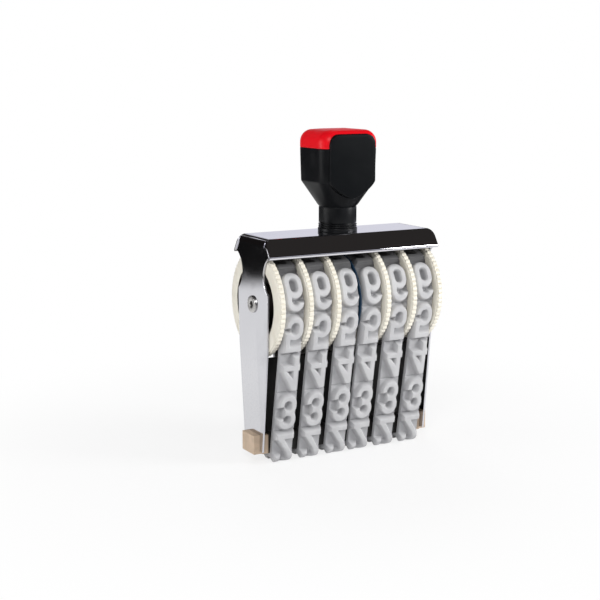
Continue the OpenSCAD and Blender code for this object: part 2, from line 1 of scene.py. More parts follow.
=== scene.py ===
# %% [markdown]
# # A hand numbering machine, dressed in Blender
# The real object is an office stamp that prints a number. Six endless rubber bands carry raised
# digits. Each band runs round a pressing bar at the bottom and round the drum of its own thumb
# wheel. A bent steel bracket holds the axle, a folded cover closes it, and a handle stands on top.
#
# The CAD frame gives every size and place. This script loads the frame and gives each part the
# form and the finish that a plain solid lacks: soft digit shoulders, knurls, rolled rivets and
# rounded sheet edges.

# %% Load the frame
import cmath
import math

import bmesh
import bpy
import numpy as np
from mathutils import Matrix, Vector


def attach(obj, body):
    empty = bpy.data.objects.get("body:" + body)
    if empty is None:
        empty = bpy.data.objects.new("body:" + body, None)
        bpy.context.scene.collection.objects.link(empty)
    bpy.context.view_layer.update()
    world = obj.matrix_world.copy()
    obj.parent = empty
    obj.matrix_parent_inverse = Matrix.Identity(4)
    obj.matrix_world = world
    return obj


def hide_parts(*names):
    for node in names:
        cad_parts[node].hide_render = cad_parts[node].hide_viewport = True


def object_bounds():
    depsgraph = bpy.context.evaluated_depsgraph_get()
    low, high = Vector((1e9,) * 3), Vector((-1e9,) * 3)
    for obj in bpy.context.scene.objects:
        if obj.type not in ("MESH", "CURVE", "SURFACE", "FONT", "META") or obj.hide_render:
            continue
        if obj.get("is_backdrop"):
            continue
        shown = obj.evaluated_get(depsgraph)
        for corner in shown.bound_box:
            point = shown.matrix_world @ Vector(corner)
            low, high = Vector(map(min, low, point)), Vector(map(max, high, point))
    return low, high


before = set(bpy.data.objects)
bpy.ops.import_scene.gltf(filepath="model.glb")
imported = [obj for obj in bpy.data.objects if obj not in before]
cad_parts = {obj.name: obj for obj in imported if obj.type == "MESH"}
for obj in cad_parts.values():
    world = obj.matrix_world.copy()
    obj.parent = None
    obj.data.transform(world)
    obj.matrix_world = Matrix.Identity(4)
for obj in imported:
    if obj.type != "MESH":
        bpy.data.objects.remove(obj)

cad_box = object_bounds()
MM = 0.001


def place_object(name, data):
    """A new object in the scene, at the origin and unturned."""
    item = bpy.data.objects.new(name, data)
    bpy.context.scene.collection.objects.link(item)
    return item


def aim(direction):
    """The rotation that turns a camera or a lamp towards a direction."""
    return direction.to_track_quat("-Z", "Y").to_euler()


# %% [markdown]
# ## The camera
# The machine is shown from its left front, a little from above, with a long lens so that the
# bands stay parallel. The camera comes first, because every choice of detail depends on how
# large a piece shows. A plain rotation aims it, where a constraint would leave a helper in the
# scene.

# %% Place the camera
camera_data = bpy.data.cameras.new("studio_camera")
camera_data.lens = 77.06
camera_data.sensor_width = 36.0
camera = place_object("studio_camera", camera_data)
camera.location = (-0.3275, -0.5463, 0.1904)
camera.rotation_euler = aim(Vector((0.4811, 0.8587, -0.1762)).normalized())
bpy.context.scene.camera = camera
print("camera at", tuple(round(v, 4) for v in camera.location))

# %% [markdown]
# ## Helpers for pieces
# Every piece is a mesh at the origin with its place in its points, so that a pattern in object
# coordinates stays where it is. Sizes are written in millimetres, as on a drawing, and turned
# into metres in one place.

# %% Helpers: a piece from points and faces
def new_mesh(name, points, faces):
    """A bare mesh from points in millimetres."""
    mesh = bpy.data.meshes.new(name)
    mesh.from_pydata((np.asarray(points, dtype=np.float64) * MM).tolist(), [], faces)
    mesh.update()
    return mesh


def make_piece(name, points, faces, crease=35.0):
    """A closed piece from points in millimetres, shaded smooth up to the crease angle."""
    piece = place_object(name, new_mesh(name, points, faces))
    face_outwards(piece.data)
    crease_mesh(piece.data, crease)
    return piece


def face_outwards(mesh):
    """Turns all faces round if the closed mesh is inside out."""
    shape = bmesh.new()
    shape.from_mesh(mesh)
    bmesh.ops.recalc_face_normals(shape, faces=shape.faces)
    if shape.calc_volume(signed=True) < 0:
        bmesh.ops.reverse_faces(shape, faces=shape.faces)
    shape.to_mesh(mesh)
    shape.free()


def crease_mesh(mesh, angle):
    """Smooth shading, with sharp edges where faces meet at more than the angle in degrees."""
    mesh.shade_smooth()
    mesh.set_sharp_from_angle(angle=math.radians(angle))


def settle(piece, crease, closed=False):
    """Replaces the piece's mesh by what its modifiers make of it, and removes them."""
    graph = bpy.context.evaluated_depsgraph_get()
    mesh = bpy.data.meshes.new_from_object(piece.evaluated_get(graph))
    old = piece.data
    piece.modifiers.clear()
    piece.data = mesh
    mesh.name = piece.name
    bpy.data.meshes.remove(old)
    if closed:
        face_outwards(mesh)
    crease_mesh(mesh, crease)


def bridge(size, count, ring=True, stack=False, first=0):
    """Quads between count rows of size points each. A ring closes each row, a stack closes
    the last row onto the first."""
    faces = []
    for k in range(count if stack else count - 1):
        low, high = first + k * size, first + (k + 1) % count * size
        for i in range(size if ring else size - 1):
            j = (i + 1) % size
            faces.append((low + i, low + j, high + j, high + i))
    return faces


def close_ends(size, first, last):
    """Flat ends on a stack of rows, which start at the points first and last."""
    return [tuple(range(first, first + size))[::-1], tuple(range(last, last + size))]


def face_width(mesh, face):
    """How wide a face is across its longest side, in millimetres."""
    corners = [mesh.vertices[i].co for i in face.vertices]
    longest = max((a - b).length for a, b in zip(corners, corners[1:] + corners[:1]))
    return face.area / longest / MM


# %% Helpers: fillets and revolved profiles
def fillet(corners, steps=4):
    """A closed outline of (a, b, radius) corners, with each corner rounded by its radius."""
    outline = []
    for i, (a, b, radius) in enumerate(corners):
        here = complex(a, b)
        if radius <= 0:
            outline.append((a, b))
            continue
        before, after = (complex(*corners[k % len(corners)][:2]) - here for k in (i - 1, i + 1))
        before, after = before / abs(before), after / abs(after)
        half = math.acos((before * after.conjugate()).real) / 2
        middle = here + (before + after) / abs(before + after) * radius / math.sin(half)
        start, end = (here + way * radius / math.tan(half) - middle for way in (before, after))
        turn = cmath.phase(end / start)
        for k in range(steps + 1):
            spun = middle + start * cmath.rect(1.0, turn * k / steps)
            outline.append((spun.real, spun.imag))
    return outline


def revolve(name, outline, steps, place, finish):
    """Spins a closed outline of (along, radius). place(along, radius, angle) gives the point."""
    points = [place(a, r, 2 * math.pi * k / steps) for k in range(steps) for a, r in outline]
    piece = make_piece(name, points, bridge(len(outline), steps, stack=True))
    piece.data.materials.append(finish)
    return piece


AXLE_Z = 78.6


def round_axle(along, radius, angle):
    """A point round the line of the axle."""
    return (along, radius * math.sin(angle), AXLE_Z + radius * math.cos(angle))


def round_handle(along, radius, angle):
    """A point round the upright line of the handle."""
    return (radius * math.cos(angle), radius * math.sin(angle), along)


print("helpers ready")

# %% [markdown]
# ## Shared surface effects
# No surface of a used machine is even. Three effects come back in most finishes, so each is a
# node group that is built once: fine grain, cloudy smudges from handling, and a mask of rubbed
# edges. A group puts out only values. The shader stays in each material, where its fixed numbers
# can be read directly.

# %% Node helpers
class Wiring:
    """Adds nodes to a tree. A value is a constant, a node, which stands for its first output,
    or a (node, output) pair."""

    def __init__(self, tree):
        self.tree = tree

    def link(self, value, node, socket):
        if isinstance(value, bpy.types.Node):
            value = (value, 0)
        if isinstance(value, tuple) and isinstance(value[0], bpy.types.Node):
            self.tree.links.new(value[0].outputs[value[1]], node.inputs[socket])
        else:
            node.inputs[socket].default_value = value

    def add(self, kind, inputs=None, **settings):
        """A node with its inputs and settings. A shader node goes by its short kind."""
        node = self.tree.nodes.new(kind if "Node" in kind else "ShaderNode" + kind)
        for label, value in settings.items():
            setattr(node, label, value)
        for socket, value in (inputs or {}).items():
            self.link(value, node, socket)
        return node

    def math(self, operation, *operands, clamp=False):
        return self.add("Math", dict(enumerate(operands)),
                        operation=operation, use_clamp=clamp)

    def vector(self, operation, *operands):
        return self.add("VectorMath", dict(enumerate(operands)), operation=operation)

    def stretch(self, value, low, high, to=(0.0, 1.0), kind="SMOOTHSTEP"):
        """Brings the stretch from low to high onto another one, clamped at both ends."""
        return self.add("MapRange", {
            "Value": value, "From Min": low, "From Max": high, "To Min": to[0], "To Max": to[1]},
            interpolation_type=kind)

    def mix(self, share, first, second, **settings):
        """Mixes two colours, each an RGB triple or a (node, output) pair."""
        first, second = ((*c, 1.0) if len(c) == 3 else c for c in (first, second))
        return self.add("Mix", {0: share, 6: first, 7: second},
                        data_type="RGBA", **settings), 2

    def place(self):
        """The place of a surface point in the object."""
        return self.add("TexCoord"), "Object"

    def axis(self, label):
        return self.add("SeparateXYZ", {0: self.place()}), label


def new_group(name, kind, inputs, output):
    """The wiring of a node group with inputs (label, socket type, default) and one output, and
    its input and output nodes."""
    group = bpy.data.node_groups.new(name, kind)
    for way, label, socket_type, default in (
            *(("INPUT", *each) for each in inputs), ("OUTPUT", *output, None)):
        socket = group.interface.new_socket(label, in_out=way,
                                            socket_type="NodeSocket" + socket_type)
        if default is not None:
            socket.default_value = default
    return Wiring(group), group.nodes.new("NodeGroupInput"), group.nodes.new("NodeGroupOutput")


# %% Group 1: fine grain
grain_group, given, result = new_group(
    "fine_grain", "ShaderNodeTree", [("Scale", "Float", 2500.0)], ("Grain", "Float"))
noise = grain_group.add("TexNoise", {
    "Vector": grain_group.place(), "Scale": given, "Detail": 4.0, "Roughness": 0.62})
grain_group.link((noise, "Fac"), result, "Grain")
print("group:", grain_group.tree.name)

# %% Group 2: cloudy smudges
smudge_group, given, result = new_group(
    "handling_smudges", "ShaderNodeTree",
    [("Scale", "Float", 60.0), ("Low", "Float", 0.4), ("High", "Float", 0.65)],
    ("Smudge", "Float"))
noise = smudge_group.add("TexNoise", {
    "Vector": smudge_group.place(), "Scale": given, "Detail": 5.0, "Distortion": 0.6})
mask = smudge_group.stretch((noise, "Fac"), (given, "Low"), (given, "High"))
smudge_group.link(mask, result, "Smudge")
print("group:", smudge_group.tree.name)

# %% Group 3: rubbed edges
edge_group, _, result = new_group("rubbed_edges", "ShaderNodeTree", [], ("Edge", "Float"))
shape = edge_group.add("NewGeometry")
worn = edge_group.stretch((shape, "Pointiness"), 0.52, 0.6, kind="LINEAR")
noise = edge_group.add("TexNoise", {"Vector": edge_group.place(), "Scale": 900.0})
mask = edge_group.math("MULTIPLY", worn, (noise, "Fac"), clamp=True)
edge_group.link(mask, result, "Edge")
print("group:", edge_group.tree.name)

# %% [markdown]
# ## The finishes
# One writer puts the groups together: a base colour with a second tone in the smudges, a
# roughness range, a bump from the grain and, where needed, paler edges. Metal and plastic differ
# only in their numbers, so the finishes are easy to compare.

# %% A writer for finishes
def new_material(name):
    """A material, its wiring and its shader."""
    material = bpy.data.materials.new(name)
    material.use_nodes = True
    tree = material.node_tree
    return material, Wiring(tree), tree.nodes["Principled BSDF"]


def make_finish(name, colour, second, rough, metallic=0.0, grain=(2500.0, 0.02, 0.00005),
                smudge=(60.0, 0.4, 0.65), edge=None, specular=0.5):
    """colour and second are linear RGB, rough is (clean, smudged). grain is (scale, strength,
    distance in metres), smudge is (scale, low, high), edge is (colour, amount)."""
    material, wiring, shader = new_material(name)
    shader.inputs["Metallic"].default_value = metallic
    shader.inputs["Specular IOR Level"].default_value = specular
    smudges = wiring.add("Group", dict(enumerate(smudge)), node_tree=smudge_group.tree)
    tone = wiring.mix(smudges, colour, second)
    if edge is not None:
        edges = wiring.add("Group", node_tree=edge_group.tree)
        amount = wiring.math("MULTIPLY", edges, edge[1], clamp=True)
        tone = wiring.mix(amount, tone, edge[0])
    wiring.link(tone, shader, "Base Color")
    wiring.link(wiring.stretch(smudges, 0.0, 1.0, rough, "LINEAR"), shader, "Roughness")
    grains = wiring.add("Group", {"Scale": grain[0]}, node_tree=grain_group.tree)
    bump = wiring.add("Bump", {
        "Strength": grain[1], "Distance": grain[2], "Height": grains})
    wiring.link(bump, shader, "Normal")
    return material


def tint(wiring, mask, colour, **settings):
    """Lays a colour over the finish's own where the mask is one."""
    shader = wiring.tree.nodes["Principled BSDF"]
    before = shader.inputs["Base Color"].links[0].from_node
    wiring.link(wiring.mix(mask, (before, 2), colour, **settings), shader, "Base Color")


print("groups in use:", grain_group.tree.name, smudge_group.tree.name, edge_group.tree.name)

# %% Metal finishes
bracket_chrome = make_finish(
    "bracket_chrome", (0.60, 0.60, 0.63), (0.54, 0.54, 0.57), (0.07, 0.16), metallic=1.0,
    grain=(3200.0, 0.08, 0.00002), smudge=(45.0, 0.5, 0.75), edge=((0.80, 0.80, 0.81), 0.5))
cover_chrome = make_finish(
    "cover_chrome", (0.66, 0.655, 0.70), (0.60, 0.595, 0.64), (0.06, 0.13), metallic=1.0,
    grain=(3200.0, 0.06, 0.00002), smudge=(40.0, 0.5, 0.75), edge=((0.93, 0.93, 0.94), 0.5))
axle_steel = make_finish(
    "turned_axle_steel", (0.55, 0.54, 0.53), (0.42, 0.41, 0.40), (0.25, 0.42), metallic=1.0,
    grain=(4200.0, 0.2, 0.00003), smudge=(220.0, 0.4, 0.7))
plated_steel = make_finish(
    "plated_fastener_steel", (0.60, 0.60, 0.62), (0.48, 0.48, 0.49), (0.22, 0.38), metallic=1.0,
    grain=(4200.0, 0.2, 0.00003), smudge=(220.0, 0.4, 0.7))
cast_metal = make_finish(
    "cast_pressing_bar", (0.60, 0.46, 0.34), (0.53, 0.41, 0.30), (0.5, 0.66), metallic=0.1,
    grain=(1600.0, 0.45, 0.00008), smudge=(160.0, 0.35, 0.7))

# A cut edge of the bracket's sheet has no polish, so it is rougher than the faces beside it
CUT_ROUGH = 0.42
sheet = Wiring(bracket_chrome.node_tree)
sheet_shader = sheet.tree.nodes["Principled BSDF"]
polish = sheet_shader.inputs["Roughness"].links[0].from_node
cut_mark = sheet.add("Attribute", attribute_name="cut_edge")
cut_rough = sheet.math("MULTIPLY", (cut_mark, "Fac"), CUT_ROUGH)
sheet.link(sheet.math("ADD", polish, cut_rough), sheet_shader, "Roughness")

# The bar is painted near black between the bands as painted shade in the gaps, its own colour is
# left only low down at its two ends
LUG_TOP, LUG_X = 14.6 * MM, (43.0 * MM, 43.8 * MM)
cast = Wiring(cast_metal.node_tree)
low = cast.math("LESS_THAN", cast.axis("Z"), LUG_TOP)
at_end = cast.stretch(cast.math("ABSOLUTE", cast.axis("X")), *LUG_X, kind="LINEAR")
unshaded_ends = cast.math("MULTIPLY", at_end, low)
tint(cast, cast.math("SUBTRACT", 1.0, unshaded_ends), (0.012, 0.011, 0.010))
print("metal finishes:", bracket_chrome.name, cover_chrome.name, axle_steel.name, cast_metal.name)

# %% Plastic finishes
cream_plastic = make_finish(
    "cream_wheel_plastic", (0.80, 0.765, 0.67), (0.73, 0.69, 0.59), (0.36, 0.5),
    grain=(1800.0, 0.15, 0.00004), smudge=(90.0, 0.4, 0.75), edge=((0.88, 0.84, 0.73), 0.5))
neck_plastic = make_finish(
    "neck_black_plastic", (0.006, 0.0065, 0.0075), (0.009, 0.0095, 0.0105), (0.3, 0.42),
    grain=(1500.0, 0.1, 0.00004), edge=((0.02, 0.02, 0.022), 0.4), specular=0.14)
grip_plastic = make_finish(
    "grip_black_plastic", (0.0055, 0.006, 0.007), (0.008, 0.0085, 0.0095), (0.34, 0.46),
    grain=(1300.0, 0.14, 0.00005), edge=((0.025, 0.025, 0.028), 0.4), specular=0.09)
panel_plastic = make_finish(
    "panel_black_gloss", (0.0045, 0.0052, 0.006), (0.0052, 0.0059, 0.0067), (0.28, 0.32),
    grain=(900.0, 0.04, 0.00004), edge=((0.025, 0.025, 0.028), 0.4), specular=0.07)
cap_plastic = make_finish(
    "cap_red_gloss", (0.80, 0.0015, 0.009), (0.76, 0.0015, 0.008), (0.38, 0.42),
    grain=(900.0, 0.03, 0.00003), smudge=(70.0, 0.45, 0.75), specular=0.22)
blue_plastic = make_finish(
    "separator_dark_blue", (0.006, 0.028, 0.062), (0.008, 0.033, 0.07), (0.25, 0.4),
    grain=(1600.0, 0.1, 0.00004))

# Inside its hollow a wheel is painted near black, as painted shade in the deep recess
HOLLOW_SHADE_R = (19.35 * MM, 19.2 * MM)
cream = Wiring(cream_plastic.node_tree)
from_axle = cream.vector("SUBTRACT", cream.place(), (0.0, 0.0, AXLE_Z * MM))
distance = cream.vector("LENGTH", cream.vector("MULTIPLY", from_axle, (0.0, 1.0, 1.0)))
hollow_shade = cream.stretch((distance, "Value"), *HOLLOW_SHADE_R, kind="LINEAR")
tint(cream, hollow_shade, (0.020, 0.014, 0.011))
print("plastic finishes:", cream_plastic.name, grip_plastic.name, cap_plastic.name)

# %% [markdown]
# ## The rubber of the bands
# Stamp rubber is matt and slightly chalky. The printing faces are rubbed paler, the deep places
# between the digits are painted darker as painted shade, and moulding grain covers all of it. The
# height above the web is stored on the mesh as an attribute, because a height measured in the
# shader would fail where the band turns round the drum.

# %% Rubber finish
band_rubber = make_finish(
    "stamp_rubber_grey", (0.47, 0.47, 0.478), (0.43, 0.43, 0.44), (0.62, 0.78),
    grain=(2200.0, 0.3, 0.00006), smudge=(120.0, 0.35, 0.7), specular=0.35)
rubber = Wiring(band_rubber.node_tree)
mark = rubber.add("Attribute", attribute_name="print_height")
raised = rubber.stretch((mark, "Fac"), 0.1, 0.95)
# Rubbed wear on the printing faces, painted shade on the ground between the digits
tint(rubber, 1.0, rubber.mix(raised, (0.84, 0.84, 0.85), (1.10, 1.10, 1.10)),
     blend_type="MULTIPLY")

# The web is painted darker upwards as painted shade from the cover, and the turn right under the
# cover is painted darkest, as the cover's painted shadow
WEB_SHADE_Z, COVER_SHADE_Z = (70.0 * MM, 104.0 * MM), (93.5 * MM, 97.5 * MM)
height = rubber.axis("Z")
web_shade = rubber.math("MULTIPLY", rubber.stretch(height, *WEB_SHADE_Z),
                    rubber.math("SUBTRACT", 1.0, raised))
tint(rubber, web_shade, (0.13, 0.13, 0.135))
tint(rubber, rubber.stretch(height, *COVER_SHADE_Z, (0.0, 0.95)), (0.06, 0.06, 0.062))
print("rubber finish:", band_rubber.name)

# %% [markdown]
# ## The digit bands
# A numbering band is moulded flat and joined to a loop: a thin web with twelve blocks, each with
# one mirrored character on sloped shoulders, so that it releases from its mould and doesn't bend
# under pressure. Text objects with a bevel would collide in the small counters. So the relief is
# a height over a flat strip, which follows from the distance to each character's outline.
# Geometry Nodes then lay the strip on the loop, as the factory does by hand.

# %% Sizes of the loop
BAND_W, BAND_T, RELIEF = 11.3, 2.0, 2.6
BAND_FEED, DIGIT_GAP, TURN_R = -6.75, 2.2, 2.5
DIGIT_W, STROKE = 9.8, 3.1
ANVIL_DEPTH = 14.4
LOOP_R = 22.3
CHARACTERS = "1234567890- "

turn_drop = AXLE_Z - RELIEF - TURN_R
LEAN = (math.asin((LOOP_R - TURN_R) / math.hypot(ANVIL_DEPTH / 2, turn_drop))
        - math.atan(ANVIL_DEPTH / 2 / turn_drop))
HALF_FLAT = ANVIL_DEPTH / 2 + TURN_R * (1 - math.sin(LEAN)) / math.cos(LEAN)
STRAIGHT_L = math.sqrt(HALF_FLAT**2 + (AXLE_Z - RELIEF)**2 - LOOP_R**2)
ARC_L = LOOP_R * (math.pi + 2 * LEAN)
LOOP_L = 2 * HALF_FLAT + 2 * STRAIGHT_L + ARC_L
PITCH = LOOP_L / len(CHARACTERS)
DIGIT_H = PITCH - DIGIT_GAP
print(f"lean {math.degrees(LEAN):.2f} deg, loop {LOOP_L:.1f} mm, pitch {PITCH:.2f} mm")

# %% The loop as a line, with round corners at the pressing bar
corner_l = TURN_R * (math.pi / 2 - LEAN)
corner_s = 2 * (HALF_FLAT - ANVIL_DEPTH / 2)


def loop_marks(corner):
    """Where the loop's stretches begin: half a flat, a corner, a straight, the arc, and back."""
    half = [ANVIL_DEPTH / 2, corner, STRAIGHT_L - corner_s / 2]
    return np.concatenate([[0.0], np.cumsum([*half, ARC_L, *half[::-1]])])


real_marks = loop_marks(corner_l)
drawn_marks = loop_marks(corner_s)
REAL_L = float(real_marks[-1])
PATH_POINTS = 1400


def loop_place(t):
    """The point (y, z) of the web's outside at length t from the bottom's middle."""
    if t > REAL_L / 2:
        y, z = loop_place(REAL_L - t)
        return (-y, z)
    part = int(np.searchsorted(real_marks, t, side="right")) - 1
    into = t - real_marks[part]
    if part == 0:
        return (-into, RELIEF)
    if part == 3:
        a = math.pi + LEAN - into / LOOP_R
        return (LOOP_R * math.cos(a), AXLE_Z + LOOP_R * math.sin(a))
    a = into / TURN_R if part == 1 else math.pi / 2 - LEAN
    up = into if part == 2 else 0.0
    return (-ANVIL_DEPTH / 2 - TURN_R * math.sin(a) - up * math.sin(LEAN),
            RELIEF + TURN_R - TURN_R * math.cos(a) + up * math.cos(LEAN))


path_curve = bpy.data.curves.new("band_path", "CURVE")
path_curve.dimensions = "3D"
path_spline = path_curve.splines.new("POLY")
path_spline.points.add(PATH_POINTS - 1)
for i in range(PATH_POINTS):
    py, pz = loop_place(REAL_L * i / PATH_POINTS)
    path_spline.points[i].co = (0.0, py * MM, pz * MM, 1.0)
path_spline.use_cyclic_u = True
band_path = place_object("band_path", path_curve)
print(f"web line {REAL_L:.1f} mm with {PATH_POINTS} points")

# %% [markdown]
# ## Drawing the characters as distances
# Each figure is put together from rings, bars and slanted strokes. Every stroke is a function
# that gives the distance to its outline, negative inside and positive outside. Joining is a
# minimum, cutting away is a maximum.

# %% Strokes
BOWL_R = DIGIT_W / 2
HIGH_Y = DIGIT_H - BOWL_R
PEN = STROKE / 2
BOWL_6, BOWL_5 = DIGIT_H * 0.68, DIGIT_H * 0.66
BOWL_3 = (DIGIT_H + STROKE) * 0.51
NOTCH = DIGIT_H * 0.09
FAR = 99.0


def bar(x, y, x0, y0, w, h):
    dx = np.abs(x - x0 - w / 2) - w / 2
    dy = np.abs(y - y0 - h / 2) - h / 2
    return np.hypot(np.maximum(dx, 0), np.maximum(dy, 0)) + np.minimum(np.maximum(dx, dy), 0)


def slant(x, y, corners):
    """A convex stroke with its corners given against the clock."""
    distance = np.full_like(x, -FAR)
    for a, b in zip(corners, corners[1:] + corners[:1]):
        ex, ey = b[0] - a[0], b[1] - a[1]
        side = ((x - a[0]) * ey - (y - a[1]) * ex) / math.hypot(ex, ey)
        distance = np.maximum(distance, side)
    return distance


def tall_ring(x, y, y0, y1):
    """A ring with straight sides between the heights y0 and y1."""
    near = np.clip(y, y0 + BOWL_R, y1 - BOWL_R)
    return np.abs(np.hypot(x, y - near) - (BOWL_R - PEN)) - PEN


join = np.minimum


def cut(a, b):
    return np.maximum(a, -b)


print(f"bowls: {BOWL_6:.1f} mm of a 6, {BOWL_5:.1f} mm of a 5, {BOWL_3:.1f} mm of a 3")


# %% Figures
def figure(c, x, y):
    """Distance to a character drawn upright in a box of DIGIT_W by DIGIT_H."""
    if c == "1":
        body = bar(x, y, -PEN, 0, STROKE, DIGIT_H)
        flag_x, flag_y = -BOWL_R * 0.8, DIGIT_H - STROKE * 1.35
        flag = slant(x, y, [(0.3, DIGIT_H), (-PEN, DIGIT_H), (flag_x, DIGIT_H - STROKE * 0.6),
                            (flag_x, flag_y), (0.3, flag_y)])
        return join(join(body, flag), bar(x, y, -BOWL_R * 0.8, 0, DIGIT_W * 0.8, STROKE))
    if c == "2":
        hook_y = HIGH_Y - NOTCH
        top = np.maximum(tall_ring(x, y, 0, DIGIT_H),
                         bar(x, y, -BOWL_R - 2, hook_y, DIGIT_W + 4, DIGIT_H))
        leg = slant(x, y, [(BOWL_R, hook_y), (BOWL_R - STROKE, hook_y),
                           (-BOWL_R, STROKE - 1), (-BOWL_R + STROKE * 1.3, STROKE - 1)])
        bend = slant(x, y, [(BOWL_R - STROKE, hook_y + 1.6), (BOWL_R - STROKE - 1.2, hook_y - 1.6),
                            (BOWL_R - 1.1, hook_y - 1.6), (BOWL_R, hook_y), (BOWL_R, hook_y + 1.6)])
        return join(join(top, bend), join(leg, bar(x, y, -BOWL_R, 0, DIGIT_W, STROKE)))
    if c == "8":
        return join(tall_ring(x, y, 0, BOWL_3), tall_ring(x, y, BOWL_3 - STROKE, DIGIT_H))
    if c == "3":
        return cut(figure("8", x, y), bar(x, y, -BOWL_R - 3, BOWL_3 - STROKE - NOTCH,
                                          STROKE + 3, STROKE + 2 * NOTCH))
    if c == "4":
        bar_y = DIGIT_H * 0.25
        bar_top = bar_y + STROKE
        stem_x = BOWL_R - STROKE * 1.3
        legs = join(bar(x, y, stem_x, 0, STROKE, DIGIT_H),
                    bar(x, y, -BOWL_R, bar_y, DIGIT_W, STROKE))
        sail = slant(x, y, [(-BOWL_R, bar_y), (stem_x + STROKE, bar_y), (stem_x + STROKE, DIGIT_H),
                            (stem_x, DIGIT_H), (-BOWL_R, bar_top)])
        window = slant(x, y, [(stem_x, bar_top), (stem_x, bar_top + STROKE),
                              (stem_x - STROKE, bar_top)])
        return cut(join(legs, sail), window)
    if c == "5":
        open_h = NOTCH * 1.4
        open_top = BOWL_5 * 0.66
        bowl = cut(tall_ring(x, y, 0, BOWL_5),
                   bar(x, y, -BOWL_R - 3, open_top - open_h, STROKE + 3, open_h))
        back = bar(x, y, -BOWL_R, open_top, STROKE, DIGIT_H - open_top)
        return join(join(bowl, back), bar(x, y, -BOWL_R, DIGIT_H - STROKE, DIGIT_W * 0.96, STROKE))
    if c == "6":
        hook = cut(tall_ring(x, y, 0, DIGIT_H),
                   bar(x, y, 0, BOWL_R, BOWL_R + 3, BOWL_6 + NOTCH - BOWL_R))
        return join(tall_ring(x, y, 0, BOWL_6), hook)
    if c == "9":
        return figure("6", -x, DIGIT_H - y)
    if c == "7":
        leg = slant(x, y, [(BOWL_R, DIGIT_H - PEN), (BOWL_R - STROKE * 1.3, DIGIT_H - PEN),
                           (-BOWL_R * 0.5, 0), (-BOWL_R * 0.5 + STROKE * 1.1, 0)])
        return join(bar(x, y, -BOWL_R, DIGIT_H - STROKE, DIGIT_W, STROKE), leg)
    if c == "0":
        return tall_ring(x, y, 0, DIGIT_H)
    if c == "-":
        return bar(x, y, -BOWL_R * 0.8, DIGIT_H / 2 - PEN, DIGIT_W * 0.8, STROKE)
    return np.full_like(x, FAR)


print("figures:", CHARACTERS.strip())

# %% [markdown]
# ## The relief of one strip
# The top of each stroke is a little narrower than its drawn outline and the foot is wider, so
# the shoulder slopes. A soft clamp rounds both ends of the slope. Shallow grooves separate the
# blocks, and the long edges of the web are rounded.

# %% Relief
TOP_INSET, FOOT_REACH = 0.35, 0.85
GROOVE_DEPTH, GROOVE_HALF, GROOVE_FADE = 0.5, 0.55, 0.6


def soft_clamp(t, k=0.12):
    """Clamps t between 0 and 1 with rounded ends."""
    low = np.sqrt(t * t + k * k)
    t = (t + low) / 2
    high = np.sqrt((1 - t) * (1 - t) + k * k)
    return 1 - ((1 - t) + high) / 2


def relief_height(s, x):
    """Height above the web, in millimetres, at the drawn length s and the place x across."""
    height = np.zeros_like(s)
    for k, c in enumerate(CHARACTERS):
        middle = (BAND_FEED + k * PITCH) % LOOP_L
        offset = (s - middle + LOOP_L / 2) % LOOP_L - LOOP_L / 2
        near = np.abs(offset) < PITCH * 0.6
        if c == " " or not near.any():
            continue
        distance = figure(c, x[near], DIGIT_H / 2 - offset[near])
        slope = (FOOT_REACH - distance) / (FOOT_REACH + TOP_INSET)
        height[near] = np.maximum(height[near], RELIEF * soft_clamp(slope))
    return height


def groove_depth(s):
    """Depth of the grooves between the blocks."""
    offset = (s - BAND_FEED) % PITCH - PITCH / 2
    return GROOVE_DEPTH * np.clip(1 - np.abs(offset) / GROOVE_HALF, 0, 1)


# %% The strip's mesh
ROWS = 960
EDGE_R = 0.3
EDGE_BAND, COLUMNS = 0.5, 49
edge_steps = BAND_W / 2 - np.array([EDGE_R, 0.15, 0.06, 0.0])
face_half = BAND_W / 2 - EDGE_BAND
across = np.concatenate([-edge_steps[::-1], np.linspace(-face_half, face_half, COLUMNS),
                         edge_steps])
real_rows = np.arange(ROWS) * REAL_L / ROWS
grid_x, grid_real = np.meshgrid(across, real_rows)
grid_s = np.interp(grid_real, real_marks, drawn_marks)
over = relief_height(grid_s, grid_x)
from_edge = np.clip(np.abs(grid_x) - (BAND_W / 2 - EDGE_R), 0, EDGE_R)
rounding = EDGE_R - np.sqrt(EDGE_R**2 - from_edge**2)
grid_z = over - groove_depth(grid_s) * np.clip(1 - over / GROOVE_FADE, 0, 1) - rounding
top = np.stack([grid_x, grid_real, grid_z], axis=2)
under = np.stack([np.broadcast_to([BAND_W / 2, -BAND_W / 2], (ROWS, 2)),
                  grid_real[:, :2], np.full((ROWS, 2), -BAND_T)], axis=2)
strip_points = np.concatenate([top, under], axis=1)
SECTION = len(across) + 2
print("strip:", ROWS, "rows of", SECTION, "points")

# %% The strip as an object
strip_mesh = new_mesh("flat_strip", strip_points.reshape(-1, 3), bridge(SECTION, ROWS, stack=True))
height_layer = strip_mesh.attributes.new("print_height", "FLOAT", "POINT")
height_values = np.pad(over / RELIEF, ((0, 0), (0, 2))).reshape(-1)
height_layer.data.foreach_set("value", height_values.astype(np.float32))
print("flat strip:", len(strip_mesh.polygons), "faces")

# %% [markdown]
# ## Laying the strip on the loop
# The node tree reads each point of the strip as (across, along, above). It samples the loop at
# "along" and moves the point out from there by "above", in the axle's direction crossed with the
# loop's tangent. A small feed moves each band, because rubber bands never sit exactly in line.

# %% A piece's node tree
def use_tree(piece, tree, values):
    """Adds the tree to the piece as a modifier and sets its inputs by their identifiers."""
    modifier = piece.modifiers.new(tree.name, "NODES")
    modifier.node_group = tree
    for item in tree.interface.items_tree:
        if item.item_type == "SOCKET" and item.in_out == "INPUT" and item.name in values:
            modifier[item.identifier] = values[item.name]


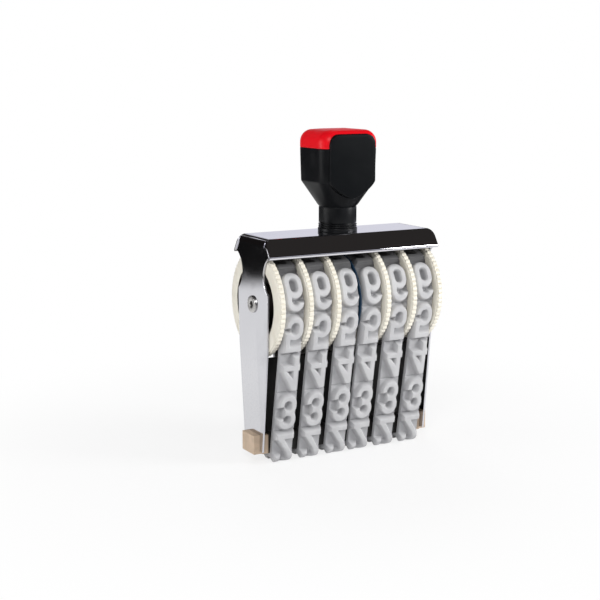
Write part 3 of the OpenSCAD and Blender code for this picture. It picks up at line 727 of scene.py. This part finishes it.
# %% The tree that lays a strip on the loop
lay, given, result = new_group("lay_strip_on_loop", "GeometryNodeTree", [
    ("Geometry", "Geometry", None), ("Path", "Object", None),
    ("Loop Length", "Float", REAL_L * MM), ("Feed", "Float", 0.0),
    ("Place On Axle", "Float", 0.0), ("Rubber", "Material", None)], ("Geometry", "Geometry"))
point = lay.add("SeparateXYZ", {0: lay.add("GeometryNodeInputPosition")})
fed = lay.math("ADD", (point, "Y"), (given, "Feed"))
wrapped = lay.math("FLOORED_MODULO", fed, (given, "Loop Length"))
path = lay.add("GeometryNodeObjectInfo", {"Object": (given, "Path")})
sample = lay.add("GeometryNodeSampleCurve", {
    "Curves": (path, "Geometry"),
    "Factor": lay.math("DIVIDE", wrapped, (given, "Loop Length"))}, mode="FACTOR")
outward = lay.vector("CROSS_PRODUCT", (1.0, 0.0, 0.0), (sample, "Tangent"))
lift = lay.add("VectorMath", {
    0: lay.vector("NORMALIZE", outward), "Scale": (point, "Z")}, operation="SCALE")
sideways = lay.add("CombineXYZ", {
    "X": lay.math("ADD", (point, "X"), (given, "Place On Axle"))})
placed = lay.vector("ADD", lay.vector("ADD", (sample, "Position"), lift), sideways)
laid = lay.add("GeometryNodeSetPosition", {"Geometry": given, "Position": placed})
real = lay.add("GeometryNodeRealizeInstances", {0: laid})
skin = lay.add("GeometryNodeSetMaterial", {"Geometry": real, "Material": (given, "Rubber")})
lay.link(skin, result, 0)
print("tree:", lay.tree.name, len(lay.tree.nodes), "nodes")

# %% Six bands
BAND_PLACES = {1: -37.20, 2: -21.92, 3: -6.64, 4: 6.64, 5: 21.92, 6: 37.20}
BAND_FEEDS = {1: 0.10, 2: -0.15, 3: 0.20, 4: -0.05, 5: 0.12, 6: -0.18}
for number, place in BAND_PLACES.items():
    band = place_object(f"digit_band_{number}", strip_mesh.copy())
    use_tree(band, lay.tree, {
        "Path": band_path, "Loop Length": REAL_L * MM, "Feed": BAND_FEEDS[number] * MM,
        "Place On Axle": place * MM, "Rubber": band_rubber})
    settle(band, 50.0)
    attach(band, "frame")
    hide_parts(f"band_{number}")
    print(band.name, len(band.data.polygons), "faces")
bpy.data.objects.remove(band_path)

# %% [markdown]
# ## The thumb wheels
# Each wheel is one moulding: a drum that drives the band from inside, and a thicker rim with
# knurls for the thumb. The smooth parts are a revolved outline. The knurls repeat 66 times, so
# Geometry Nodes place one tooth with its slice of the tread that often, join them to the body
# and merge the seams, which makes one closed skin.

# %% One tooth of the rim
RIM_R, ROOT_R, TREAD_R = 26.4, 25.66, 25.6
TEETH = 66
SLOT_W, WHEEL_W = 11.78, 3.5
DRUM_R, BORE_R = 20.0, 3.05
TREAD, TOOTH_END = (0.42, WHEEL_W - 0.42), 0.22
tooth_angles = np.array([0.0, 0.13, 0.3, 0.5, 0.7, 0.87, 1.0]) * 2 * math.pi / TEETH
tooth_radii = [ROOT_R, 26.12, 26.33, RIM_R, 26.33, 26.12, ROOT_R]
tooth_rows = [(TREAD[0], 0), (TREAD[0] + TOOTH_END, 1), (TREAD[1] - TOOTH_END, 1), (TREAD[1], 0)]


def tooth_mesh(side):
    """The slice of the tread for one tooth of a right (1) or left (-1) wheel, at the origin."""
    points = []
    for x, raised in tooth_rows:
        for angle, radius in zip(tooth_angles, tooth_radii):
            r = radius if raised else TREAD_R
            points.append((side * x, r * math.sin(angle), r * math.cos(angle)))
    quads = bridge(len(tooth_angles), len(tooth_rows), ring=False)
    return new_mesh("tooth", points, [quad[::side] for quad in quads])


print("tooth pitch:", round(2 * math.pi * RIM_R / TEETH, 2), "mm")

# %% The tree that knurls a rim
knurl, given, result = new_group("knurl_the_rim", "GeometryNodeTree", [
    ("Geometry", "Geometry", None), ("Tooth", "Object", None), ("Teeth", "Int", TEETH),
    ("Rim Place", "Vector", None), ("Plastic", "Material", None)], ("Geometry", "Geometry"))
spots = knurl.add("GeometryNodePoints", {
    "Count": (given, "Teeth"), "Position": (given, "Rim Place")})
step = knurl.math("DIVIDE", 2 * math.pi, (given, "Teeth"))
turn = knurl.add("CombineXYZ", {
    "X": knurl.math("MULTIPLY", knurl.add("GeometryNodeInputIndex"), step)})
tooth = knurl.add("GeometryNodeObjectInfo", {"Object": (given, "Tooth")})
copies = knurl.add("GeometryNodeInstanceOnPoints", {
    "Points": spots, "Instance": (tooth, "Geometry"), "Rotation": turn})
joined = knurl.add("GeometryNodeJoinGeometry", {0: given})
knurl.link(copies, joined, 0)
merged = knurl.add("GeometryNodeMergeByDistance", {
    "Geometry": knurl.add("GeometryNodeRealizeInstances", {0: joined}), "Distance": 0.02 * MM})
skin = knurl.add("GeometryNodeSetMaterial", {"Geometry": merged, "Material": (given, "Plastic")})
knurl.link(skin, result, 0)
print("tree:", knurl.tree.name, len(knurl.tree.nodes), "nodes")

# %% The smooth body of a wheel
HOLLOW = 7.0


def wheel_body(start, side):
    """The wheel's skin without its tread. start is where its drum begins along the axle."""
    rim0, rim1 = SLOT_W, SLOT_W + WHEEL_W
    outline = [
        (rim0 + TREAD[0], TREAD_R), (rim0 + 0.2, 25.48), (rim0 + 0.06, 25.26), (rim0, 24.9),
        (rim0, DRUM_R), (0.55, DRUM_R), (0.25, DRUM_R - 0.12), (0.15, DRUM_R - 0.4),
        (0.15, BORE_R + 0.3), (0.45, BORE_R), (rim1 - 0.3, BORE_R), (rim1, BORE_R + 0.3),
        (rim1, 8.6), (rim1 - 0.12, 8.9), (rim1 - 0.6, 9.1), (rim1 - HOLLOW, 9.3),
        (rim1 - HOLLOW, 17.2), (rim1 - 0.3, 19.2), (rim1 - 0.08, 19.3), (rim1, 19.6),
        (rim1, 24.9), (rim1 - 0.06, 25.26), (rim1 - 0.2, 25.48), (rim0 + TREAD[1], TREAD_R)]
    stations = [tooth * 2 * math.pi / TEETH + a
                for tooth in range(TEETH) for a in tooth_angles[:-1]]
    points = [round_axle(start + side * a, r, angle) for angle in stations for a, r in outline]
    quads = bridge(len(outline), len(stations), ring=False, stack=True)
    return new_mesh("wheel", points, [(a, d, c, b)[::-side] for a, b, c, d in quads])


print("wheel width:", SLOT_W + WHEEL_W, "mm")

# %% Six wheels
WHEEL_STARTS = {1: -31.31, 2: -16.03, 3: -0.75, 4: 0.75, 5: 16.03, 6: 31.31}
teeth = {side: place_object(f"tooth_{side}", tooth_mesh(side)) for side in (1, -1)}
for number, start in WHEEL_STARTS.items():
    side = 1 if start > 0 else -1
    wheel = place_object(f"thumb_wheel_{number}", wheel_body(start, side))
    use_tree(wheel, knurl.tree, {
        "Tooth": teeth[side], "Teeth": TEETH, "Plastic": cream_plastic,
        "Rim Place": ((start + side * SLOT_W) * MM, 0.0, AXLE_Z * MM)})
    settle(wheel, 28.0, closed=True)
    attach(wheel, f"thumb_wheel_{number}")
    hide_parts(f"wheel_{number}")
    print(wheel.name, len(wheel.data.polygons), "faces")
for tooth in teeth.values():
    bpy.data.objects.remove(tooth)

# %% [markdown]
# ## Sheet and cast parts from the frame
# The bracket and the pressing bar have the right shape in the frame, but their edges are sharp,
# and real sheet has a rolled edge that catches the light. A copy of the solid is merged, its
# flat triangles are dissolved, and a small bevel rounds the edges. The flats are shaded flat,
# because a mirror shows every bend of a smoothed normal. The narrow faces are the cut edges,
# which are marked for the finish.

# %% A rounded copy of a frame part
WELD, FLAT_ANGLE, BEVEL_ANGLE = 0.002, 0.5, 40.0
# Widths of a cut edge and of a flat in millimetres, and parts of a normal that tell faces apart
CUT_MIN, CUT_MAX, FLAT_MIN = 0.3, 0.95, 1.1
TURNED, SQUARE = 0.3, 0.98


def rounded_copy(name, node, width, segments=2):
    """A merged copy of a node with its edges rolled by the width, and its cut edges marked."""
    piece = place_object(name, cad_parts[node].data.copy())
    piece.data.materials.clear()
    shape = bmesh.new()
    shape.from_mesh(piece.data)
    bmesh.ops.remove_doubles(shape, verts=shape.verts, dist=WELD * MM)
    bmesh.ops.dissolve_limit(shape, angle_limit=math.radians(FLAT_ANGLE), verts=shape.verts,
                             edges=shape.edges)
    shape.to_mesh(piece.data)
    shape.free()
    bevel = piece.modifiers.new("rolled_edge", "BEVEL")
    bevel.width = width * MM
    bevel.segments = segments
    bevel.limit_method = "ANGLE"
    bevel.angle_limit = math.radians(BEVEL_ANGLE)
    settle(piece, 30.0)
    cut_edge = piece.data.attributes.new("cut_edge", "FLOAT", "FACE")
    for face in piece.data.polygons:
        across = face_width(piece.data, face)
        is_cut = CUT_MIN < across < CUT_MAX and abs(face.normal.x) < TURNED
        if is_cut or across > FLAT_MIN or abs(face.normal.y) > SQUARE:
            face.use_smooth = False
        cut_edge.data[face.index].value = float(is_cut)
    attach(piece, "frame")
    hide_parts(node)
    return piece


bracket = rounded_copy("side_bracket", "frame_bracket", 0.16)
bracket.data.materials.append(bracket_chrome)
pressing_bar = rounded_copy("pressing_bar", "anvil", 0.35, segments=3)
pressing_bar.data.materials.append(cast_metal)
for piece in (bracket, pressing_bar):
    print(piece.name, len(piece.data.polygons), "faces")

# %% [markdown]
# ## The folded cover
# The cover is one chromed sheet: a flat top that bends down over the bracket at both ends, two
# sloping facets and two short skirts. The rounded outside of each fold draws the light line
# along the cover. The sheet is lofted: each ring runs once round the sheet along the machine,
# and the rings follow the section from skirt to skirt.

# %% The cover's section
COVER_END, COVER_BEND, COVER_TOP = 48.34, 3.8, 111.6
BEND_Z = COVER_TOP - COVER_BEND
SHEET, EDGE_ROUND = 1.0, 0.25
SKIRT_Z, FOLD_Z, FLAT_HALF, COVER_HALF = 102.3, 103.6, 13.4, 18.6
INNER_FLAT, INNER_FOLD = 12.857, 103.303
FOOT_ROUND = 0.07
FOLD_R, INNER_FOLD_R = 0.9, 0.2
FACET_STEPS, FACET_RISE = 16, 3.0


def cover_end(z):
    """Half length of the cover at a height. Above the bend's start it draws in."""
    rise = min(max(z - BEND_Z, 0.0), COVER_BEND)
    return COVER_END - COVER_BEND + math.sqrt(COVER_BEND**2 - rise**2)


def cover_line(half, fold_z, flat, top, fold_r):
    """The section of one side of the sheet, from the front skirt's foot to the back one's."""
    corners = [(-half, SKIRT_Z, 0), (-half, fold_z, fold_r), (-flat, top, fold_r), (0.0, top, 0)]
    rounded = fillet(corners, 8)
    rounded[0] = (-half, SKIRT_Z + EDGE_ROUND)
    line = [(-half, SKIRT_Z), (-half, SKIRT_Z + FOOT_ROUND)]
    for a, b in zip(rounded, rounded[1:]):
        steps = FACET_STEPS if b[1] - a[1] > FACET_RISE else 1
        line += [(a[0] + (b[0] - a[0]) * k / steps, a[1] + (b[1] - a[1]) * k / steps)
                 for k in range(steps)]
    return line + [(-y, z) for y, z in reversed(line)]


outer_line = cover_line(COVER_HALF, FOLD_Z, FLAT_HALF, COVER_TOP, FOLD_R)
inner_line = cover_line(
    COVER_HALF - SHEET, INNER_FOLD, INNER_FLAT, COVER_TOP - SHEET, INNER_FOLD_R)
print("cover section:", len(outer_line), "points,", len(inner_line), "inside")

# %% The cover's sheet
rim_steps = [(EDGE_ROUND * (1 - math.sin(a)), EDGE_ROUND * (1 - math.cos(a)))
             for a in (math.pi / 2, math.pi / 3, math.pi / 6, 0.0)]
cover_points = []
for i, (outside, inside) in enumerate(zip(outer_line, inner_line)):
    from_foot = min(i, len(outer_line) - 1 - i)
    foot = (EDGE_ROUND, FOOT_ROUND)[from_foot] if from_foot < 2 else 0.0
    for near, far in ((outside, inside), (inside, outside)):
        row = []
        for back, sunk in rim_steps:
            sunk = max(sunk, foot)
            row.append((cover_end(near[1]) - back, near[0] + (far[0] - near[0]) * sunk,
                        near[1] + (far[1] - near[1]) * sunk))
        ends = [(-x, y, z) for x, y, z in row] + row[::-1]
        cover_points += ends if near is outside else ends[::-1]
SHEET_RING = 4 * len(rim_steps)
cover_faces = bridge(SHEET_RING, len(outer_line))
cover_faces += close_ends(SHEET_RING, 0, (len(outer_line) - 1) * SHEET_RING)
print("sheet:", len(cover_points), "points")

# %% The cover's bent ends
LIP_T, LIP_Z, LIP_STEPS = 0.4, 107.4, 16
FOLD_WIDTH = 5.0
lip = [(math.pi / 2 * k / LIP_STEPS, BEND_Z) for k in range(LIP_STEPS + 1)]
lip.append((math.pi / 2, LIP_Z))
for side in (-1, 1):
    first = len(cover_points)
    for angle, base in lip:
        for r, half_y in ((COVER_BEND, -1), (COVER_BEND, 1),
                          (COVER_BEND - LIP_T, 1), (COVER_BEND - LIP_T, -1)):
            cover_points.append((side * (COVER_END - COVER_BEND + r * math.sin(angle)),
                                 half_y * INNER_FLAT, base + r * math.cos(angle)))
    cover_faces += bridge(4, len(lip), first=first)
    cover_faces += close_ends(4, first, first + (len(lip) - 1) * 4)
cover = make_piece("folded_cover", cover_points, cover_faces, 30.0)
for face in cover.data.polygons:
    face.use_smooth = face_width(cover.data, face) < FOLD_WIDTH
cover.data.materials.append(cover_chrome)
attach(cover, "frame")
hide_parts("top_cover")
print(cover.name, len(cover.data.polygons), "faces")

# %% [markdown]
# ## Round parts on the axle and under the handle
# The axle is a tube whose ends are rolled over the side plates, the separator is a thin disc,
# and the neck is a plain sleeve on a ringed collar. All are turned shapes, so each is one
# outline with small fillets, spun round its line.

# %% Axle and separator
TUBE_X, TUBE_R, TUBE_BORE = 47.74, 3.0, 1.6
HEAD_X, HEAD_R = TUBE_X + 0.9, 4.2
DISC_R, DISC_X = 23.1, 0.3
axle_outline = fillet([
    (-HEAD_X, TUBE_BORE, 0.3), (-HEAD_X, HEAD_R, 0.42), (-TUBE_X, HEAD_R, 0.12),
    (-TUBE_X, TUBE_R, 0), (TUBE_X, TUBE_R, 0), (TUBE_X, HEAD_R, 0.12), (HEAD_X, HEAD_R, 0.42),
    (HEAD_X, TUBE_BORE, 0.3)], 5)
axle_tube = revolve("riveted_axle", axle_outline, 96, round_axle, axle_steel)
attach(axle_tube, "frame")
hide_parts("axle")
separator = revolve("separator_disc", fillet([
    (-DISC_X, BORE_R, 0.1), (-DISC_X, DISC_R, 0.2), (DISC_X, DISC_R, 0.2),
    (DISC_X, BORE_R, 0.1)], 4), 192, round_axle, blue_plastic)
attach(separator, "frame")
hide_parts("centre_disc")
print(axle_tube.name, separator.name)

# %% Collar and neck
NECK_BORE, NECK_R, GROOVE_R = 2.7, 9.4, 8.6
COLLAR_R, RING_R, RING_H = 9.8, 9.6, 0.5
STEP_Z, SLEEVE_Z, FLARE_Z = COVER_TOP + 1.9, COVER_TOP + 4.4, 124.0
collar_corners = [(COVER_TOP, NECK_BORE, 0), (COVER_TOP, COLLAR_R, 0.15),
                  (STEP_Z, COLLAR_R, 0.35), (STEP_Z, GROOVE_R, 0.12)]
for k in (1, 3):
    low = STEP_Z + k * RING_H
    collar_corners += [(low, GROOVE_R, 0.1), (low, RING_R, 0.18),
                       (low + RING_H, RING_R, 0.18), (low + RING_H, GROOVE_R, 0.1)]
collar_corners += [(SLEEVE_Z, GROOVE_R, 0.1), (SLEEVE_Z, NECK_BORE, 0)]
collar = revolve("ringed_collar", fillet(collar_corners, 3), 128, round_handle, neck_plastic)
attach(collar, "frame")
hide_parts("neck_collar")
neck = revolve("neck_sleeve_tube", fillet([
    (SLEEVE_Z, NECK_BORE, 0), (SLEEVE_Z, NECK_R, 0.3), (FLARE_Z, NECK_R, 0.3),
    (FLARE_Z, NECK_BORE, 0)], 4), 128, round_handle, neck_plastic)
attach(neck, "frame")
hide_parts("neck_sleeve")
print(collar.name, neck.name)

# %% [markdown]
# ## The handle
# The grip starts round on the neck, flares out to a rounded square and carries a red cap, with a
# black shield let into its front. It is lofted: rings of points climb up the handle, and each
# ring is a blend between the circle and the rounded square. The shield's pocket is then cut
# with a boolean.

# %% Rings of the grip
GRIP_X, GRIP_Y, GRIP_R, TAPER = 16.1, 14.7, 7.0, 0.5
RING = 144
ring_turns = [(math.cos(2 * math.pi * k / RING), math.sin(2 * math.pi * k / RING))
              for k in range(RING)]


def square_ring(inset, z):
    """The grip's rounded rectangle, drawn in by the inset, as points at even angles."""
    hx, hy, r = GRIP_X - inset, GRIP_Y - inset, max(GRIP_R - inset, 0.35)
    ring_points = []
    for c, s in ring_turns:
        reach = min(hx / abs(c) if abs(c) > 1e-9 else 1e9, hy / abs(s) if abs(s) > 1e-9 else 1e9)
        if abs(reach * c) > hx - r and abs(reach * s) > hy - r:
            cx, cy = math.copysign(hx - r, c), math.copysign(hy - r, s)
            b = c * cx + s * cy
            reach = b + math.sqrt(max(b * b - cx * cx - cy * cy + r * r, 0.0))
        ring_points.append((reach * c, reach * s, z))
    return ring_points


def round_ring(radius, z):
    return [(radius * c, radius * s, z) for c, s in ring_turns]


def blend_rings(first, second, amount, z):
    return [(a[0] + (b[0] - a[0]) * amount, a[1] + (b[1] - a[1]) * amount, z)
            for a, b in zip(first, second)]


def loft(name, rings):
    """A closed skin over a stack of rings, with a point in the middle of each end."""
    points = [p for ring_points in rings for p in ring_points]
    faces = bridge(RING, len(rings))
    for k, turn in ((0, -1), (len(rings) - 1, 1)):
        points.append((0.0, 0.0, rings[k][0][2]))
        for i in range(RING):
            faces.append((k * RING + i, k * RING + (i + 1) % RING, len(points) - 1)[::turn])
    return make_piece(name, points, faces)


print("rings of", RING, "points")

# %% Grip and cap
GRIP_Z, CAP_Z, TOP_Z = 136.6, 153.0, 162.3
CAP_R, CROWN, ROUND_STEPS, CROWN_STEPS = 6.0, 0.5, 13, 8
low_ring, full_ring = round_ring(NECK_R, 0), square_ring(TAPER, 0)
grip_rings = [round_ring(NECK_R - 0.25, FLARE_Z), round_ring(NECK_R, FLARE_Z + 0.3)]
flare = [(t, FLARE_Z + t * (GRIP_Z - FLARE_Z)) for t in (0.08, 0.25, 0.45, 0.65, 0.85, 0.94)]
for t, z in flare + [(0.975, GRIP_Z - 0.28), (0.995, GRIP_Z + 0.05)]:
    grip_rings.append(blend_rings(low_ring, full_ring, t, z))
grip_rings.append(square_ring(TAPER, GRIP_Z + 0.5))
for z in (140.0, 145.0, 150.0, CAP_Z - 0.4):
    grip_rings.append(square_ring(TAPER * (CAP_Z - z) / (CAP_Z - GRIP_Z), z))
grip_rings.append(square_ring(0.07, CAP_Z - 0.17))
grip_rings.append(square_ring(0.3, CAP_Z - 0.02))
grip = loft("grip_body", grip_rings)

cap_rings = [square_ring(0.25, CAP_Z + 0.02), square_ring(0.06, CAP_Z + 0.15)]
for z in (CAP_Z + 0.35, 154.2, 155.0, TOP_Z - CROWN - CAP_R):
    cap_rings.append(square_ring(0, z))
for k in range(1, ROUND_STEPS):
    a = math.pi / 2 * k / ROUND_STEPS
    inset, drop = CAP_R * (1 - math.cos(a)), CAP_R * (1 - math.sin(a))
    cap_rings.append(square_ring(inset, TOP_Z - CROWN - drop))
for k in range(CROWN_STEPS + 1):
    inset = CAP_R + (GRIP_Y - CAP_R - 0.6) * k / CROWN_STEPS
    rise = CROWN * (1 - (1 - k / CROWN_STEPS) ** 2)
    cap_rings.append(square_ring(inset, TOP_Z - CROWN + rise))
cap = loft("grip_cap", cap_rings)
print(grip.name, len(grip_rings), "rings;", cap.name, len(cap_rings), "rings")

# %% The outline of the shield
PANEL_HALF, PANEL_BOTTOM, PANEL_CURVE, PANEL_TOP, PANEL_CORNER = 12.8, 128.7, 8.6, 159.9, 5.0
SHIELD_POWER, POINT_STEPS, CORNER_STEPS = 2 / 1.4, 48, 12
PANEL_BACK, PANEL_FRONT = -10.8, -15.0
PANEL_MIDDLE = (PANEL_BOTTOM + PANEL_TOP) / 2


def shield_outline(extra):
    """The shield's outline as (x, z), larger by the extra: blunt below, soft corners above."""
    low = PANEL_BOTTOM + PANEL_CURVE
    outline = []
    for k in range(POINT_STEPS + 1):
        a = math.pi * k / POINT_STEPS
        across = math.copysign(abs(math.cos(a)) ** SHIELD_POWER, -math.cos(a))
        outline.append(((PANEL_HALF + extra) * across,
                        low - (PANEL_CURVE + extra) * abs(math.sin(a)) ** SHIELD_POWER))
    corner = PANEL_CORNER + extra
    for side, start in ((1, 0.0), (-1, math.pi / 2)):
        cx, cz = side * (PANEL_HALF - PANEL_CORNER), PANEL_TOP - PANEL_CORNER
        for k in range(CORNER_STEPS + 1):
            a = start + math.pi / 2 * k / CORNER_STEPS
            outline.append((cx + corner * math.cos(a), cz + corner * math.sin(a)))
    return outline


def shield_solid(name, layers):
    """A stack of shield outlines from back to front. A layer is (extra, scale, y)."""
    points = []
    for extra, scale, y in layers:
        points += [(x * scale, y, PANEL_MIDDLE + (z - PANEL_MIDDLE) * scale)
                   for x, z in shield_outline(extra)]
    count = len(points) // len(layers)
    last = len(points) - count
    points.append((0.0, layers[-1][2], PANEL_MIDDLE))
    faces = bridge(count, len(layers))
    faces += [(last + i, last + (i + 1) % count, len(points) - 1) for i in range(count)]
    faces.append(tuple(range(count))[::-1])
    return make_piece(name, points, faces, 40.0)


print(f"shield: {2 * PANEL_HALF:.1f} mm wide, {PANEL_TOP - PANEL_BOTTOM:.1f} mm high")

# %% The shield and its pocket
EDGE, CROWN_DROP, POCKET_GAP = 0.45, 0.25, 0.14
shoulder_y = PANEL_FRONT + CROWN_DROP
panel_layers = [(0.0, 1.0, PANEL_BACK), (0.0, 1.0, shoulder_y + EDGE)]
for k in range(1, 6):
    a = math.pi / 2 * k / 5
    panel_layers.append((-EDGE * (1 - math.cos(a)), 1.0, shoulder_y + EDGE * (1 - math.sin(a))))
for scale in (0.9, 0.75, 0.55, 0.35, 0.15):
    panel_layers.append((-EDGE, scale, PANEL_FRONT + CROWN_DROP * scale**2))
panel = shield_solid("grip_panel", panel_layers)
pocket = shield_solid("pocket_cutter", [(POCKET_GAP, 1.0, PANEL_BACK),
                                        (POCKET_GAP, 1.0, PANEL_FRONT - 4)])
for piece in (grip, cap):
    cutting = piece.modifiers.new("pocket", "BOOLEAN")
    cutting.operation = "DIFFERENCE"
    cutting.solver = "EXACT"
    cutting.object = pocket
    settle(piece, 38.0, closed=True)
bpy.data.objects.remove(pocket)
for piece, node, finish, slot_name in (
        (grip, "handle_body", grip_plastic, "grip_black"),
        (panel, "handle_panel", panel_plastic, "panel_black"),
        (cap, "handle_cap", cap_plastic, "cap_red")):
    piece.data.materials.clear()
    piece.data.materials.append(finish)
    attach(piece, "frame")
    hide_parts(node)
    print(piece.name, len(piece.data.polygons), "faces")

# %% [markdown]
# ## Fasteners
# The screw and the washer that hold the handle sit inside the bracket and show only from below.
# Their solids are good as they are, so they keep their shape and get the plated finish.

# %% Fasteners
for node in ("handle_screw", "handle_washer"):
    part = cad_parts[node]
    part.data.materials.clear()
    part.data.materials.append(plated_steel)
    print(node, "keeps its shape")

# %% [markdown]
# ## Floor, world and lamps
# Chrome shows its surroundings, so they matter as much as the lamps. The floor is pale, and the
# camera sees a white background. Glossy rays see white low down and behind, and a dark studio
# high up in front, which gives the sloping facet its deep tone. The lamps are large and soft, so
# that the digits' shoulders are readable.

# %% Floor
WHITE = (1.0, 1.0, 1.0, 1.0)
FLOOR_HALF, FLOOR_Z = 3000.0, -0.2
floor = place_object("floor", new_mesh("floor", [
    (x * FLOOR_HALF, y * FLOOR_HALF, FLOOR_Z) for x, y in ((-1, -1), (1, -1), (1, 1), (-1, 1))],
    [(0, 1, 2, 3)]))
floor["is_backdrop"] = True
floor_paint, ground, matt = new_material("pale_floor")
matt.inputs["Roughness"].default_value = 0.9
matt.inputs["Specular IOR Level"].default_value = 0.1
noise = ground.add("TexNoise", {"Scale": 12.0})
ground.link(ground.mix((noise, "Fac"), (0.90, 0.90, 0.91), (0.93, 0.93, 0.93)), matt, "Base Color")

# Away from the machine the floor glows white, and in mirrors it ends where the dark room begins
rays = ground.add("LightPath")
seen, mirrored = (rays, "Is Camera Ray"), (rays, "Is Glossy Ray")
far = (ground.vector("LENGTH", (ground.add("NewGeometry"), "Position")), "Value")
fade = ground.stretch(far, 0.06, 0.26, (0.78, 1.0))
end = ground.stretch(far, 0.53, 0.60, (1.0, 0.008), "LINEAR")
glow = ground.add("Emission", {
    "Color": WHITE, "Strength": ground.math("MAXIMUM", end, seen)})
white_share = ground.math("MULTIPLY", fade, ground.math("MAXIMUM", seen, mirrored))
surface = ground.add("MixShader", {0: white_share, 1: matt, 2: glow})
ground.link(surface, ground.tree.nodes["Material Output"], "Surface")
floor.data.materials.append(floor_paint)
print("floor ready")

# %% World
world = bpy.data.worlds.new("studio")
bpy.context.scene.world = world
world.use_nodes = True
sky = Wiring(world.node_tree)
sky.tree.nodes.clear()
rays = sky.add("LightPath")
toward = sky.add("SeparateXYZ", {0: (sky.add("TexCoord"), "Generated")})
high = sky.stretch((toward, "Z"), 0.24, 0.40)
left = sky.stretch((toward, "X"), -0.05, -0.25, kind="LINEAR")
room = sky.mix(high, (0.78, 0.78, 0.86), (0.030, 0.027, 0.025))
mirror_light = sky.add("Background", {
    "Color": sky.mix(left, room, (0.008, 0.007, 0.007))})
soft_light = sky.add("Background", {"Color": WHITE, "Strength": 0.20})
white_back = sky.add("Background", {"Color": WHITE})
glossy = sky.math("MAXIMUM", (rays, "Is Glossy Ray"), (rays, "Is Transmission Ray"))
unseen = sky.add("MixShader", {0: glossy, 1: soft_light, 2: mirror_light})
light = sky.add("MixShader", {0: (rays, "Is Camera Ray"), 1: unseen, 2: white_back})
sky.add("OutputWorld", {"Surface": light})
print("world ready")

# %% Lamps
def add_lamp(name, place, target_z, size, power, mirrored=True):
    """A soft box that looks at a height on the handle's line."""
    data = bpy.data.lights.new(name, "AREA")
    data.shape = "RECTANGLE"
    data.size, data.size_y = size
    data.energy = power
    lamp = place_object(name, data)
    lamp.location = place
    lamp.visible_glossy = mirrored
    lamp.rotation_euler = aim(Vector((0.0, 0.0, target_z)) - Vector(place))


add_lamp("right_box", (0.76, -0.60, 0.36), 0.07, (0.34, 0.34), 8.0)
add_lamp("left_box", (-0.46, -0.66, 0.70), 0.07, (0.30, 0.30), 4.5)
add_lamp("back_box", (0.2, 0.8, 0.8), 0.1, (0.7, 0.5), 3.0, mirrored=False)
add_lamp("side_box", (-0.80, 0.26, 0.14), 0.08, (0.45, 0.45), 2.6)
bpy.context.scene.view_settings.view_transform = "Standard"
print("lamps ready")

# %% Sizes and finish
dressed_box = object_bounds()
for label, pair in (("cad", cad_box), ("visual", dressed_box)):
    print(label, [round(v * 1000, 2) for v in (*pair[0], *pair[1])])
